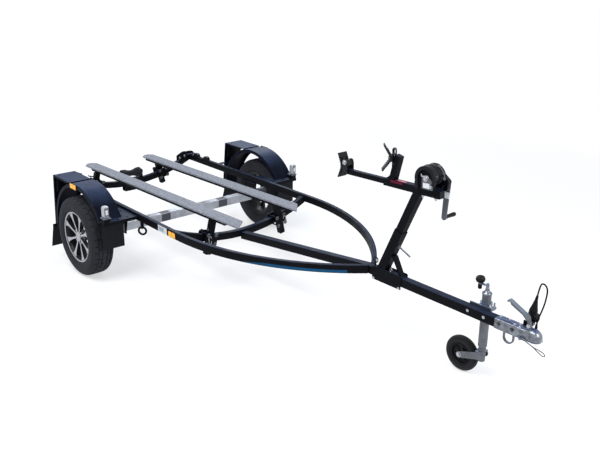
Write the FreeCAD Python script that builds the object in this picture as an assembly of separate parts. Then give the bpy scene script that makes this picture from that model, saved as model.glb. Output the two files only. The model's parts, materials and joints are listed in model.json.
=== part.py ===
"""Single-axle trailer for a small watercraft, parked on its two road wheels and its jockey wheel.

Every length is in millimetres. The pieces are drawn in the chassis frame, which is level along the
side rails: X forward to the coupling, Y to the left, Z up, X = 0 at the wheel centres, and Z = 0 on
the ground under the wheels. park() then leans the chassis nose-down about the wheel centres, as the
trailer stands on its jockey wheel, and the whole trailer is moved along X until its box is centred
on the origin.
"""
import FreeCAD
import Part
import math
import os

V = FreeCAD.Vector
X_AXIS, Y_AXIS, Z_AXIS = V(1, 0, 0), V(0, 1, 0), V(0, 0, 1)

# ---- stance ---------------------------------------------------------------------------------------------------
NOSE_DOWN = 1.26            # degrees that the parked chassis leans to its nose
RUN_GAP = 0.05              # radial gap between a shaft and what turns on it
SLIDE_GAP = 0.4             # gap on each side of a tube that slides in another

# ---- road wheels ----------------------------------------------------------------------------------------------
TYRE_RADIUS, TYRE_WIDTH = 280.0, 165.0
BEAD_RADIUS = 168.0         # where the tyre sits on the rim
FLANGE_RADIUS = 181.0       # of the rim's two edges
RIM_WIDTH, RIM_WALL = 140.0, 6.0
WHEEL_Y = 795.0             # wheel's middle plane from the trailer's
DISC_INSET, DISC_THICK = 14.0, 14.0     # the spokes' face behind the rim's edge
SPOKES, SPOKE_ROOT, SPOKE_TIP = 8, 15.0, 32.0        # number, and widths at the boss and at the rim
BOSS_RADIUS = 54.0          # centre of the rim that the wheel bolts pass through
HUB_RADIUS, HUB_FLANGE_T = 68.0, 12.0
HUB_BARREL_RADIUS, HUB_LENGTH = 38.0, 95.0
STUB_RADIUS = 20.0

# ---- side rails, crossmembers, drawbar ------------------------------------------------------------------------
RAIL_OUT = 587.0            # outer face of the straight part
RAIL_W, RAIL_H, RAIL_WALL = 30.0, 50.0, 3.0
RAIL_TOP = 492.0
RAIL_REAR, RAIL_STRAIGHT_END = -830.0, 847.0
RAIL_BEND_RADIUS = 1430.0   # of the outer face
CROSS_W, CROSS_H, CROSS_WALL = 40.0, 48.0, 3.0
CROSS_TOP = 357.0           # top of a crossmember at its middle
CROSS_RADIUS = 1300.0       # of its top face
FRONT_CROSS_X, REAR_CROSS_X = 755.0, -760.0
BAR_W, BAR_H, BAR_WALL = 50.0, 50.0, 4.0
BAR_TOP = 490.0
BAR_BEND_X, BAR_FRONT = 1960.0, 2880.0
BAR_SLOPE = 7.1             # degrees that the drawbar falls towards its tail

# ---- axle -----------------------------------------------------------------------------------------------------
AXLE_X, AXLE_Z, AXLE_SIZE, AXLE_WALL = 120.0, 326.0, 60.0, 5.0
AXLE_HALF = 612.0
HANGER_Y, HANGER_L, HANGER_PLATE = 566.0, 170.0, 6.0
TORSION_SIZE = 34.0
ARM_THICK, ARM_EYE_RADIUS, ARM_HUB_RADIUS = 24.0, 36.0, 34.0

# ---- mudguards ------------------------------------------------------------------------------------------------
GUARD_IN, GUARD_OUT = 675.0, 838.0
GUARD_RADIUS, SHEET, LIP = 372.0, 3.0, 26.0
GUARD_FRONT, GUARD_REAR = 30.0, 187.0   # degrees round from the front where the arch begins and ends
BOX_FRONT, BOX_REAR, BOX_TOP = -95.0, -352.0, 646.0
BOX_FOOT_X, BOX_FOOT_Z, BOX_LIP = -396.0, 238.0, 14.0
STEP_TOP, STEP_FRONT, STEP_REAR, STEP_T, STEP_EDGE = 476.0, 374.0, 130.0, 4.0, 22.0
FLAP_T, FLAP_MARGIN, FLAP_OUTSET = 5.0, 3.0, 20.0
FRONT_FLAP_X, FRONT_FLAP_FOOT = 334.0, 275.0
REAR_FLAP_FOOT_X, REAR_FLAP_FOOT_Z = -450.0, 72.0
REAR_FLAP_LAP = 24.0

# ---- lamps ----------------------------------------------------------------------------------------------------
LAMP_X, LAMP_Y, LAMP_RADIUS, LAMP_BASE, LAMP_TOP = 357.0, 812.0, 21.0, 505.0, 590.0
LAMP_FOOT = 44.0
TAIL_LAMP_H, TAIL_LAMP_W, TAIL_LAMP_T, TAIL_LAMP_TOP = 100.0, 130.0, 26.0, 615.0
REFLECTOR_L, REFLECTOR_H, REFLECTOR_T = 88.0, 36.0, 7.0
RAIL_REFLECTOR_X = 806.0
PLATE_X, PLATE_L, PLATE_H, PLATE_T = 684.0, 104.0, 44.0, 1.0

# ---- bunks ----------------------------------------------------------------------------------------------------
BUNK_Y = 252.0
BUNK_LEFT = (-935.0, 1100.0, 990.0)     # rear end, and the inner and outer corners of the skew front end
BUNK_RIGHT = (-985.0, 1030.0, 1120.0)
BUNK_TOP, BUNK_TILT = 514.0, 1.26       # top at the wheel centres, and degrees that the bunks rise to the front
BUNK_W, BUNK_T, BUNK_CORNER = 104.0, 14.0, 36.0
BUNK_BAR_REAR, BUNK_BAR_FRONT, BUNK_BAR_W, BUNK_BAR_H = -880.0, 950.0, 72.0, 22.0
POST_Y, POST_W, POST_WALL, POST_BELOW = 275.0, 40.0, 3.0, 130.0
CLAMP_W, CLAMP_PLATE, CLAMP_REACH = 92.0, 8.0, 14.0
BOLT_RADIUS = 5.0

# ---- keel roller ----------------------------------------------------------------------------------------------
ROLLER_RADIUS, ROLLER_WAIST, ROLLER_L = 38.0, 24.0, 180.0
ROLLER_PIN, ROLLER_LIFT = 8.0, 56.0     # lift: the pin above the crossmember
EAR_T, EAR_W, EAR_GAP = 6.0, 50.0, 2.0
SHACKLE_RIGHT, SHACKLE_LEFT, SHACKLE_DROP, SHACKLE_T = -70.0, 36.0, 38.0, 6.0

# ---- winch mast -----------------------------------------------------------------------------------------------
MAST_LEAN = 23.1            # degrees forward of the drawbar's upright
MAST_FOOT_X = 2062.0        # where its centre line meets the drawbar's top
MAST_SIZE, MAST_WALL, SLEEVE_WALL = 46.0, 3.0, 4.0
SLEEVE_LEN, MAST_TAIL = 288.0, 120.0    # along the mast from its foot
SLEEVE_PLATE_T, SLEEVE_PLATE_REAR, SLEEVE_PLATE_FRONT, SLEEVE_PLATE_DROP = 6.0, 2008.0, 2218.0, 66.0
BRACE_T, BRACE_LIFT = 6.0, 108.0
T_BOLT_RADIUS, T_BOLT_LEN, T_BOLT_AT = 5.0, 92.0, 196.0
BEAM_SIZE, BEAM_WALL, BEAM_BOTTOM = 40.0, 5.0, 993.0
BEAM_TILT = 2.0             # degrees that the beam rises to the front of the chassis
BEAM_REAR, BEAM_FRONT = 2046.0, 2424.0
ARM_REAR, ARM_INSIDE = 1756.0, 190.0    # inside: how far the bow arm reaches into the beam
UPRIGHT_SIZE, UPRIGHT_X, UPRIGHT_LEAN, UPRIGHT_LEN = 36.0, 2100.0, 15.0, 140.0

# ---- bow pads -------------------------------------------------------------------------------------------------
PAD_T = 9.0
# open: degrees between each leaf of a pad and the line to the rear
REAR_PAD_W, REAR_PAD_LEN, REAR_PAD_OPEN = 66.0, 74.0, 68.0
TOP_PAD_W, TOP_PAD_LEN, TOP_PAD_OPEN = 60.0, 80.0, 58.0
TOP_PAD_YAW, TOP_PAD_PITCH = 44.0, 3.0
REAR_PAD_LIFT, TOP_PAD_DROP = 32.0, 18.0     # above the arm, and below the upright's top
PAD_BLOCK, REAR_BLOCK_T, TOP_BLOCK_T = 34.0, 14.0, 24.0
HINGE_TOP, HINGE_FOOT = 42.0, -50.0     # of the upper pad's bracket, from the pad's middle
GUSSET = 26.0

# ---- winch ----------------------------------------------------------------------------------------------------
DRUM_X, DRUM_LIFT, DRUM_SHAFT = 2349.0, 58.0, 8.0    # lift: the drum's shaft above the beam
DRUM_CORE, DRUM_FLANGE, DRUM_FLANGE_T = 20.0, 46.0, 3.0
WINCH_HALF, WINCH_PLATE = 40.0, 4.0
WINCH_RADIUS, WINCH_FOOT_HALF = 64.0, 60.0
COVER_T, COVER_OVER, COVER_GAP = 3.0, 6.0, 0.2
GEAR_BOX_T, GEAR_BOX_RADIUS, GEAR_BOX_BACK, CRANK_BOSS = 24.0, 52.0, 16.0, 21.0
CRANK_X, CRANK_LIFT, CRANK_SHAFT = 2400.0, 11.0, 8.0
CRANK_ARM, CRANK_W, CRANK_T, CRANK_LEAN = 176.0, 30.0, 8.0, 4.0
GRIP_RADIUS, GRIP_LEN, GRIP_PIN = 12.0, 84.0, 5.0

# ---- jockey wheel, drawn upright over the ground --------------------------------------------------------------
JOCKEY_X, JOCKEY_Y = 2703.0, 77.0
JOCKEY_RADIUS, JOCKEY_WIDTH, JOCKEY_RIM = 100.0, 44.0, 58.0
JOCKEY_TRAIL, JOCKEY_PIN = 121.0, 8.0
JOCKEY_OUTER, JOCKEY_WALL = 24.0, 3.0
JOCKEY_TUBE_TOP, JOCKEY_TUBE_FOOT = 484.0, 190.0
JOCKEY_INNER, JOCKEY_SWIVEL_Z = 18.0, 164.0
FORK_T, FORK_GAP, FORK_W = 5.0, 4.0, 44.0
JOCKEY_CLAMP_W, JOCKEY_CLAMP_H, JOCKEY_CLAMP_WALL = 64.0, 72.0, 8.0
STUB_OUTER, STUB_INNER, STUB_FOOT = 16.0, 13.6, 104.0    # hollow below the fork's crown
KNOB_RADIUS, KNOB_STEM, KNOB_REACH, KNOB_ARM_Z = 25.0, 11.0, 46.0, 44.0
KNOB_H, KNOB_STEM_H, KNOB_ARM_T = 24.0, 27.0, 6.0

# ---- coupling -------------------------------------------------------------------------------------------------
BALL_AHEAD, BALL_Z = 150.0, 469.0       # ahead: in front of the drawbar's end
BALL_X = BAR_FRONT + BALL_AHEAD
SOCKET_RADIUS, SOCKET_SKIRT = 25.15, 22.0
HEAD_RADIUS = 36.0
COUPLING_LAP, COUPLING_W, COUPLING_PLATE, COUPLING_FOOT = 58.0, 58.0, 4.0, 440.0     # lap: over the drawbar
COUPLING_REAR = BAR_FRONT - COUPLING_LAP
HANDLE_W = 30.0
RING_RADIUS, RING_T, RING_W, RING_DROP, RING_AHEAD = 30.0, 7.0, 15.0, 37.0, 13.0
RING_X = BAR_FRONT + RING_AHEAD

# ---- plug, its cable and the breakaway cable ------------------------------------------------------------------
PLUG_AHEAD, PLUG_Y, PLUG_FOOT, PLUG_LEAN = 88.0, 54.0, 508.0, 7.0
PLUG_X = BAR_FRONT + PLUG_AHEAD
PLUG_RADIUS, PLUG_LEN, PLUG_NECK = 21.0, 143.0, 8.0
HOLDER_T = 5.0
CABLE_RADIUS, BREAKAWAY_RADIUS = 4.0, 2.5
TIE_X, TIE_RADIUS, TIE_BAR, TIE_TONGUE, TIE_TURN = 400.0, 26.0, 7.0, 42.0, -40.0

OUT_DIR = "parts"
PARTS = {}


# ==== small helpers ============================================================================================
def box(x0, x1, y0, y1, z0, z1):
    """A box between two corners."""
    return Part.makeBox(x1 - x0, y1 - y0, z1 - z0, V(x0, y0, z0))


def rod(start, end, radius):
    """A round bar between two points."""
    along = end - start
    return Part.makeCylinder(radius, along.Length, start, along)


def cross_rod(x, z, y0, y1, radius):
    """A round bar along Y."""
    return rod(V(x, y0, z), V(x, y1, z), radius)


def cross_ring(x, z, y0, y1, outer, inner):
    """A round tube along Y."""
    return cross_rod(x, z, y0, y1, outer).cut(cross_rod(x, z, y0 - 1, y1 + 1, inner))


def prism(points, along):
    """A closed outline of points, pushed along a vector."""
    return Part.Face(Part.makePolygon(points + [points[0]])).extrude(along)


def side_prism(outline, y0, y1):
    """An outline of (x, z) points, from one Y to another."""
    return prism([V(x, y0, z) for x, z in outline], V(0, y1 - y0, 0))


def edge_prism(edges, along):
    """A closed outline of edges, pushed along a vector."""
    return Part.Face(Part.Wire(Part.__sortEdges__(edges))).extrude(along)


def arc(first, middle, last):
    return Part.Arc(first, middle, last).toShape()


def line(first, last):
    return Part.LineSegment(first, last).toShape()


def turned(shape, degrees, about, axis):
    copy = shape.copy()
    copy.rotate(about, axis, degrees)
    return copy


def mirrored(shape):
    """The same piece on the other side of the trailer."""
    return shape.mirror(V(0, 0, 0), Y_AXIS)


def joined(*shapes):
    """One solid from pieces that touch or overlap."""
    return shapes[0].fuse(list(shapes[1:])).removeSplitter()


def square_tube(x, y, z0, z1, size, wall):
    """An upright square tube about (x, y)."""
    half, inner = size / 2, size / 2 - wall
    tube = box(x - half, x + half, y - half, y + half, z0, z1)
    return tube.cut(box(x - inner, x + inner, y - inner, y + inner, z0 - 1, z1 + 1))


def keep(name, *shapes):
    """Files a node's solids, which are already in the parked pose."""
    PARTS.setdefault(name, []).extend(solid for shape in shapes for solid in shape.Solids)


def park(shape):
    """Leans a chassis piece nose-down about the wheel centres."""
    return turned(shape, NOSE_DOWN, V(0, 0, TYRE_RADIUS), Y_AXIS)


def chassis(name, *shapes):
    keep(name, *[park(shape) for shape in shapes])


def both_sides(name, *shapes):
    """One node for the left piece and its twin on the right."""
    chassis(name, *shapes)
    chassis(name, *[mirrored(shape) for shape in shapes])


def left_and_right(name, shape):
    """Two nodes, one for each side."""
    chassis("left_" + name, shape)
    chassis("right_" + name, mirrored(shape))


# ==== frame ====================================================================================================
def rail_bar(inset):
    """The left rail's bar, with every face moved in by the inset."""
    centre = V(RAIL_STRAIGHT_END, RAIL_OUT - RAIL_BEND_RADIUS, RAIL_TOP - RAIL_H + inset)
    radii = (RAIL_BEND_RADIUS - inset, RAIL_BEND_RADIUS - RAIL_W + inset)
    reach = 60.0            # degrees of bend, which runs on past the drawbar

    def at(radius, degrees):
        turn = math.radians(degrees)
        return centre + V(radius * math.sin(turn), radius * math.cos(turn), 0)

    tail = V(RAIL_REAR - RAIL_STRAIGHT_END - (inset and 1), 0, 0)
    outer, inner = radii
    edges = [line(at(outer, 0) + tail, at(outer, 0)), arc(at(outer, 0), at(outer, reach / 2), at(outer, reach)),
             line(at(outer, reach), at(inner, reach)), arc(at(inner, reach), at(inner, reach / 2), at(inner, 0)),
             line(at(inner, 0), at(inner, 0) + tail), line(at(inner, 0) + tail, at(outer, 0) + tail)]
    return edge_prism(edges, V(0, 0, RAIL_H - 2 * inset))


def side_rail():
    beside_drawbar = box(RAIL_REAR - 10, 3000, BAR_W / 2, RAIL_OUT + 10, 0, 1000)
    return rail_bar(0).cut(rail_bar(RAIL_WALL)).common(beside_drawbar)


def cross_bar(x, inset):
    """A crossmember's bar: an arc across the trailer that dips in the middle."""
    half, top, foot = RAIL_OUT - RAIL_W, CROSS_RADIUS + inset, CROSS_RADIUS + CROSS_H - inset
    centre = V(x - CROSS_W / 2 + inset, 0, CROSS_TOP + CROSS_RADIUS)
    reach = math.degrees(math.asin(half / CROSS_RADIUS)) + 3

    def at(radius, degrees):
        turn = math.radians(degrees)
        return centre + V(0, radius * math.sin(turn), -radius * math.cos(turn))

    edges = [arc(at(top, -reach), at(top, 0), at(top, reach)), line(at(top, reach), at(foot, reach)),
             arc(at(foot, reach), at(foot, 0), at(foot, -reach)), line(at(foot, -reach), at(top, -reach))]
    return edge_prism(edges, V(CROSS_W - 2 * inset, 0, 0))


def crossmember(x):
    between_rails = box(x - CROSS_W, x + CROSS_W, -RAIL_OUT + RAIL_W, RAIL_OUT - RAIL_W, 0, 1000)
    return cross_bar(x, 0).cut(cross_bar(x, CROSS_WALL)).common(between_rails)


def cross_top(y):
    """Height of a crossmember's top at a distance from the middle."""
    return CROSS_TOP + CROSS_RADIUS - math.sqrt(CROSS_RADIUS ** 2 - y ** 2)


def cross_foot(y):
    radius = CROSS_RADIUS + CROSS_H
    return CROSS_TOP + CROSS_RADIUS - math.sqrt(radius ** 2 - y ** 2)


def bar_outline(inset, rear, front):
    """The drawbar from the side: a tail that rises to the bend, then a level nose."""
    slope = math.radians(BAR_SLOPE)
    top, foot = BAR_TOP - inset, BAR_TOP - BAR_H + inset
    shift = math.tan(slope / 2)
    top_bend, foot_bend = BAR_BEND_X + inset * shift, BAR_BEND_X + (BAR_H - inset) * shift
    return [(rear, top - (top_bend - rear) * math.tan(slope)), (top_bend, top), (front, top),
            (front, foot), (foot_bend, foot), (rear, foot - (foot_bend - rear) * math.tan(slope))]


def drawbar():
    rear = FRONT_CROSS_X + CROSS_W / 2
    half, inner = BAR_W / 2, BAR_W / 2 - BAR_WALL
    tube = side_prism(bar_outline(0, rear, BAR_FRONT), -half, half)
    return tube.cut(side_prism(bar_outline(BAR_WALL, rear - 1, BAR_FRONT + 1), -inner, inner))


def rail_plug():
    """Plastic plug in the rear end of a rail."""
    inner_y0, inner_y1 = RAIL_OUT - RAIL_W, RAIL_OUT
    cap = box(RAIL_REAR - 4, RAIL_REAR, inner_y0, inner_y1, RAIL_TOP - RAIL_H, RAIL_TOP)
    stem = box(RAIL_REAR, RAIL_REAR + 16, inner_y0 + RAIL_WALL, inner_y1 - RAIL_WALL,
               RAIL_TOP - RAIL_H + RAIL_WALL, RAIL_TOP - RAIL_WALL)
    return joined(cap, stem)


def corner_bracket():
    """Folded guide bracket, bolted on the rear end of a rail and to the front of the crossmember."""
    inner, rail_in, outer = RAIL_OUT - 150, RAIL_OUT - RAIL_W, RAIL_OUT + 24
    back, front = REAR_CROSS_X - CROSS_W / 2, REAR_CROSS_X + CROSS_W / 2 + 44
    t, low, high = 5.0, RAIL_TOP - 40, RAIL_TOP + 25
    face = REAR_CROSS_X + CROSS_W / 2
    base = box(back - t, front, rail_in - 30, outer, RAIL_TOP, RAIL_TOP + t)
    fence = prism([V(face, inner, low), V(face, rail_in, low), V(face, rail_in, RAIL_TOP),
                   V(face, outer, RAIL_TOP), V(face, outer, high - 12), V(face, outer - 30, high),
                   V(face, inner + 50, high), V(face, inner, low + 40)], V(t, 0, 0))
    side = prism([V(face, rail_in - 30, RAIL_TOP), V(front, rail_in - 30, RAIL_TOP),
                  V(face, rail_in - 30, high)], V(0, t, 0))
    return joined(base, fence, side)


def tie_ring():
    """Lashing ring that hangs from a tongue under a rail."""
    y, top = RAIL_OUT - RAIL_W / 2, RAIL_TOP - RAIL_H
    centre = V(TIE_X, y, top - TIE_RADIUS - TIE_TONGUE)
    ring = turned(Part.makeTorus(TIE_RADIUS, TIE_BAR, centre, Y_AXIS), TIE_TURN, centre, Z_AXIS)
    foot = centre.z + TIE_RADIUS
    eye = cross_rod(TIE_X, foot, y - 5, y + 5, TIE_BAR + 6)
    return joined(ring, eye, box(TIE_X - 14, TIE_X + 14, y - 5, y + 5, foot, top))


def make_frame():
    left_and_right("side_rail", side_rail())
    chassis("crossmembers", crossmember(FRONT_CROSS_X), crossmember(REAR_CROSS_X))
    chassis("drawbar", drawbar())
    both_sides("rail_end_plugs", rail_plug())
    both_sides("rear_corner_brackets", corner_bracket())
    both_sides("tie_down_rings", tie_ring())


# ==== axle and wheels ==========================================================================================
def axle_box(size, half):
    s = size / 2
    return box(AXLE_X - s, AXLE_X + s, -half, half, AXLE_Z - s, AXLE_Z + s)


def axle_beam():
    return axle_box(AXLE_SIZE, AXLE_HALF).cut(axle_box(AXLE_SIZE - 2 * AXLE_WALL, AXLE_HALF + 1))


def axle_hanger():
    """Plate that hangs the axle under a rail, with a flange bolted to the rail."""
    top, foot = RAIL_TOP - RAIL_H, AXLE_Z - AXLE_SIZE / 2 - 14
    x0, x1 = AXLE_X - HANGER_L / 2, AXLE_X + HANGER_L / 2
    taper = 40.0
    web = prism([V(x0, HANGER_Y, top), V(x1, HANGER_Y, top), V(x1 - taper, HANGER_Y, foot),
                 V(x0 + taper, HANGER_Y, foot)], V(0, HANGER_PLATE, 0))
    flange = box(x0, x1, RAIL_OUT - RAIL_W - 14, RAIL_OUT, top - HANGER_PLATE, top)
    return joined(web, flange).cut(axle_box(AXLE_SIZE, AXLE_HALF))


def arm_bar():
    """Trailing arm from the axle's end to the wheel's centre, with its torsion bar and its stub."""
    y0, y1 = AXLE_HALF, AXLE_HALF + ARM_THICK
    across = V(AXLE_X, 0, AXLE_Z - TYRE_RADIUS)
    side = V(-across.z, 0, across.x).normalize()
    hub, eye = V(0, y0, TYRE_RADIUS), V(AXLE_X, y0, AXLE_Z)
    web = prism([eye + side * ARM_EYE_RADIUS, eye - side * ARM_EYE_RADIUS,
                 hub - side * ARM_HUB_RADIUS, hub + side * ARM_HUB_RADIUS], V(0, y1 - y0, 0))
    half = TORSION_SIZE / 2
    torsion = box(AXLE_X - half, AXLE_X + half, y0 - 160, y0, AXLE_Z - half, AXLE_Z + half)
    stub = cross_rod(0, TYRE_RADIUS, y1, WHEEL_FACE_Y - 4, STUB_RADIUS)
    return joined(web, cross_rod(AXLE_X, AXLE_Z, y0, y1, ARM_EYE_RADIUS),
                  cross_rod(0, TYRE_RADIUS, y0, y1, ARM_HUB_RADIUS), torsion, stub)


DISC_OUT = WHEEL_Y + RIM_WIDTH / 2 - DISC_INSET      # outer face of the spokes
DISC_IN = DISC_OUT - DISC_THICK
WHEEL_FACE_Y = DISC_IN                               # the hub's flange bolts on behind the disc


def hub():
    """Hub that turns on the stub: a barrel and the flange that carries the rim."""
    barrel = cross_rod(0, TYRE_RADIUS, WHEEL_FACE_Y - HUB_LENGTH, WHEEL_FACE_Y, HUB_BARREL_RADIUS)
    flange = cross_rod(0, TYRE_RADIUS, WHEEL_FACE_Y - HUB_FLANGE_T, WHEEL_FACE_Y, HUB_RADIUS)
    bore = cross_rod(0, TYRE_RADIUS, WHEEL_FACE_Y - HUB_LENGTH - 1, WHEEL_FACE_Y - 3, STUB_RADIUS + RUN_GAP)
    return joined(barrel, flange).cut(bore)


def lathe(profile, x, z):
    """An outline of (radius, y) points, turned about the line along Y through (x, z)."""
    points = [V(x + radius, y, z) for radius, y in profile]
    return Part.Face(Part.makePolygon(points + [points[0]])).revolve(V(x, 0, z), Y_AXIS, 360)


def tyre():
    """Tubeless tyre: rounded shoulders, side walls that bulge, and beads on the rim."""
    y0, y1 = WHEEL_Y - TYRE_WIDTH / 2, WHEEL_Y + TYRE_WIDTH / 2
    bead0, bead1 = WHEEL_Y - RIM_WIDTH / 2 + RIM_WALL, WHEEL_Y + RIM_WIDTH / 2 - RIM_WALL
    r, shoulder = TYRE_RADIUS, 22.0
    outer = [(BEAD_RADIUS, bead0), (FLANGE_RADIUS + 4, bead0 - RIM_WALL), (r - 62, y0), (r - shoulder - 8, y0 + 5),
             (r - 6, y0 + shoulder), (r, y0 + shoulder + 18), (r, y1 - shoulder - 18), (r - 6, y1 - shoulder),
             (r - shoulder - 8, y1 - 5), (r - 62, y1), (FLANGE_RADIUS + 4, bead1 + RIM_WALL), (BEAD_RADIUS, bead1)]
    wall = 12.0
    inner = [(BEAD_RADIUS, bead1 - wall), (r - 62, y1 - wall), (r - 24, y1 - wall - 14), (r - 14, y1 - 40),
             (r - 14, y0 + 40), (r - 24, y0 + wall + 14), (r - 62, y0 + wall), (BEAD_RADIUS, bead0 + wall)]
    return lathe(outer + inner, 0, TYRE_RADIUS)


def rim():
    """Cast rim: a barrel with two edges, and a disc cut into spokes that widen to the rim."""
    y0, y1 = WHEEL_Y - RIM_WIDTH / 2, WHEEL_Y + RIM_WIDTH / 2
    barrel = lathe([(FLANGE_RADIUS, y0), (FLANGE_RADIUS, y0 + RIM_WALL), (BEAD_RADIUS, y0 + RIM_WALL),
                    (BEAD_RADIUS, y1 - RIM_WALL), (FLANGE_RADIUS, y1 - RIM_WALL), (FLANGE_RADIUS, y1),
                    (BEAD_RADIUS - RIM_WALL, y1), (BEAD_RADIUS - RIM_WALL, y0)], 0, TYRE_RADIUS)
    centre = V(0, 0, TYRE_RADIUS)
    boss = cross_rod(0, TYRE_RADIUS, DISC_IN, DISC_OUT, BOSS_RADIUS)
    root, tip = BOSS_RADIUS - 12, BEAD_RADIUS - RIM_WALL / 2
    corners = [(root, TYRE_RADIUS - SPOKE_ROOT / 2), (tip, TYRE_RADIUS - SPOKE_TIP / 2),
               (tip, TYRE_RADIUS + SPOKE_TIP / 2), (root, TYRE_RADIUS + SPOKE_ROOT / 2)]
    spoke = side_prism(corners, DISC_IN, DISC_OUT)
    spokes = [turned(spoke, number * 360 / SPOKES, centre, Y_AXIS) for number in range(SPOKES)]
    return joined(barrel, boss, *spokes)


def make_running_gear():
    chassis("axle_beam", axle_beam())
    both_sides("axle_hangers", axle_hanger())
    both_sides("trailing_arms", arm_bar().cut(axle_beam()))
    left_and_right("wheel_hub", hub())
    left_and_right("wheel_rim", rim())
    left_and_right("tyre", tyre().cut(rim()))


# ==== mudguards ================================================================================================
def guard_sector(radius, y0, y1):
    """A thick slice of a cylinder about the wheel, over the arch's angles."""
    def at(r, degrees):
        turn = math.radians(degrees)
        return V(r * math.cos(turn), y0, TYRE_RADIUS + r * math.sin(turn))
    middle = (GUARD_FRONT + GUARD_REAR) / 2
    edges = [line(at(0, 0), at(radius, GUARD_FRONT)), line(at(radius, GUARD_REAR), at(0, 0)),
             arc(at(radius, GUARD_FRONT), at(radius, middle), at(radius, GUARD_REAR))]
    return edge_prism(edges, V(0, y1 - y0, 0))


def box_outline(inset):
    """The lamp box from the side: level top, and a rear face that slopes out to its foot."""
    return [(BOX_FRONT, BOX_TOP - inset), (BOX_REAR + inset, BOX_TOP - inset),
            (BOX_FOOT_X + inset, BOX_FOOT_Z - (inset and 1)), (-GUARD_RADIUS + 40, BOX_FOOT_Z - (inset and 1)),
            (BOX_FRONT, TYRE_RADIUS + 200)]


def mudguard():
    """Folded arch with turned-in edges, and the box for the rear lamp behind it."""
    skin = guard_sector(GUARD_RADIUS, GUARD_IN, GUARD_OUT)
    skin = skin.cut(cross_rod(0, TYRE_RADIUS, GUARD_IN + SHEET, GUARD_OUT - SHEET, GUARD_RADIUS - SHEET))
    arch = skin.cut(cross_rod(0, TYRE_RADIUS, GUARD_IN - 1, GUARD_OUT + 1, GUARD_RADIUS - LIP))
    shell = side_prism(box_outline(0), GUARD_IN, GUARD_OUT)
    shell = shell.cut(side_prism(box_outline(SHEET), GUARD_IN + SHEET, GUARD_OUT - SHEET))
    shell = shell.cut(side_prism(box_outline(BOX_LIP), GUARD_IN - 1, GUARD_OUT + 1))
    shell = shell.cut(cross_rod(0, TYRE_RADIUS, GUARD_IN - 1, GUARD_OUT + 1, GUARD_RADIUS - SHEET))
    return joined(arch, shell)


def rear_face_x(z):
    """X of the lamp box's rear face at a height."""
    return BOX_REAR + (BOX_TOP - z) / (BOX_TOP - BOX_FOOT_Z) * (BOX_FOOT_X - BOX_REAR)


def step():
    """Folded step from the rail to the front of the mudguard."""
    t, edge = STEP_T, STEP_EDGE
    top = box(STEP_REAR, STEP_FRONT, RAIL_OUT, GUARD_OUT, STEP_TOP - t, STEP_TOP)
    front = box(STEP_FRONT - t, STEP_FRONT, RAIL_OUT, GUARD_OUT, STEP_TOP - edge, STEP_TOP)
    plate = top.cut(box(STEP_REAR - 1, GUARD_RADIUS * 0.7, GUARD_IN, GUARD_OUT + 1, 0, 1000))
    return joined(plate, front).cut(cross_rod(0, TYRE_RADIUS, GUARD_IN, GUARD_OUT + 1, GUARD_RADIUS))


def guard_stay():
    """Angle that ties the rear of the mudguard to the rail."""
    x0, x1, z = BOX_REAR - 24, BOX_REAR + 22, STEP_TOP
    flat = box(x0, x1, RAIL_OUT, GUARD_IN, z - STEP_T, z)
    foot = box(x0, x1, RAIL_OUT, RAIL_OUT + STEP_T, RAIL_TOP - RAIL_H, z)
    return joined(flat, foot)


def front_flap():
    return box(FRONT_FLAP_X, FRONT_FLAP_X + FLAP_T, GUARD_IN + FLAP_MARGIN, GUARD_OUT - FLAP_MARGIN,
               FRONT_FLAP_FOOT, STEP_TOP - STEP_T)


def rear_flap():
    lap_z = BOX_FOOT_Z + REAR_FLAP_LAP
    faces = [(rear_face_x(lap_z), lap_z), (BOX_FOOT_X, BOX_FOOT_Z), (REAR_FLAP_FOOT_X, REAR_FLAP_FOOT_Z)]
    outline = faces + [(x - FLAP_T, z) for x, z in reversed(faces)]
    return side_prism(outline, GUARD_IN + FLAP_OUTSET, GUARD_OUT + FLAP_OUTSET)


def front_lamp():
    """White side lamp on a rubber foot, on the step's outer corner."""
    return rod(V(LAMP_X, LAMP_Y, LAMP_BASE), V(LAMP_X, LAMP_Y, LAMP_TOP), LAMP_RADIUS)


def lamp_foot():
    half = LAMP_FOOT / 2
    return box(LAMP_X - half, STEP_FRONT, LAMP_Y - half, LAMP_Y + half, STEP_TOP, LAMP_BASE)


def tail_lamp():
    """Rear lamp, seated in a hole of the lamp box's rear face."""
    middle = (GUARD_IN + GUARD_OUT) / 2
    foot = TAIL_LAMP_TOP - TAIL_LAMP_H
    outline = [(rear_face_x(TAIL_LAMP_TOP) - 8, TAIL_LAMP_TOP), (rear_face_x(foot) - 8, foot),
               (rear_face_x(foot) + TAIL_LAMP_T, foot), (rear_face_x(TAIL_LAMP_TOP) + TAIL_LAMP_T, TAIL_LAMP_TOP)]
    return side_prism(outline, middle - TAIL_LAMP_W / 2, middle + TAIL_LAMP_W / 2)


def guard_reflector():
    """Amber reflector on the outer edge of the arch."""
    z = TYRE_RADIUS + GUARD_RADIUS - LIP / 2 - 5
    x = -30.0
    return box(x - REFLECTOR_L / 2, x + REFLECTOR_L / 2, GUARD_OUT, GUARD_OUT + REFLECTOR_T,
               z - REFLECTOR_H / 2, z + REFLECTOR_H / 2)


def rail_reflector():
    z = RAIL_TOP - RAIL_H / 2
    return box(RAIL_REFLECTOR_X - REFLECTOR_L / 2, RAIL_REFLECTOR_X + REFLECTOR_L / 2 - 10, RAIL_OUT,
               RAIL_OUT + REFLECTOR_T, z - REFLECTOR_H / 2, z + REFLECTOR_H / 2)


def type_plate():
    """Blank plate on the right rail."""
    z = RAIL_TOP - RAIL_H / 2
    return box(PLATE_X - PLATE_L / 2, PLATE_X + PLATE_L / 2, -RAIL_OUT - PLATE_T, -RAIL_OUT,
               z - PLATE_H / 2, z + PLATE_H / 2)


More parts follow.
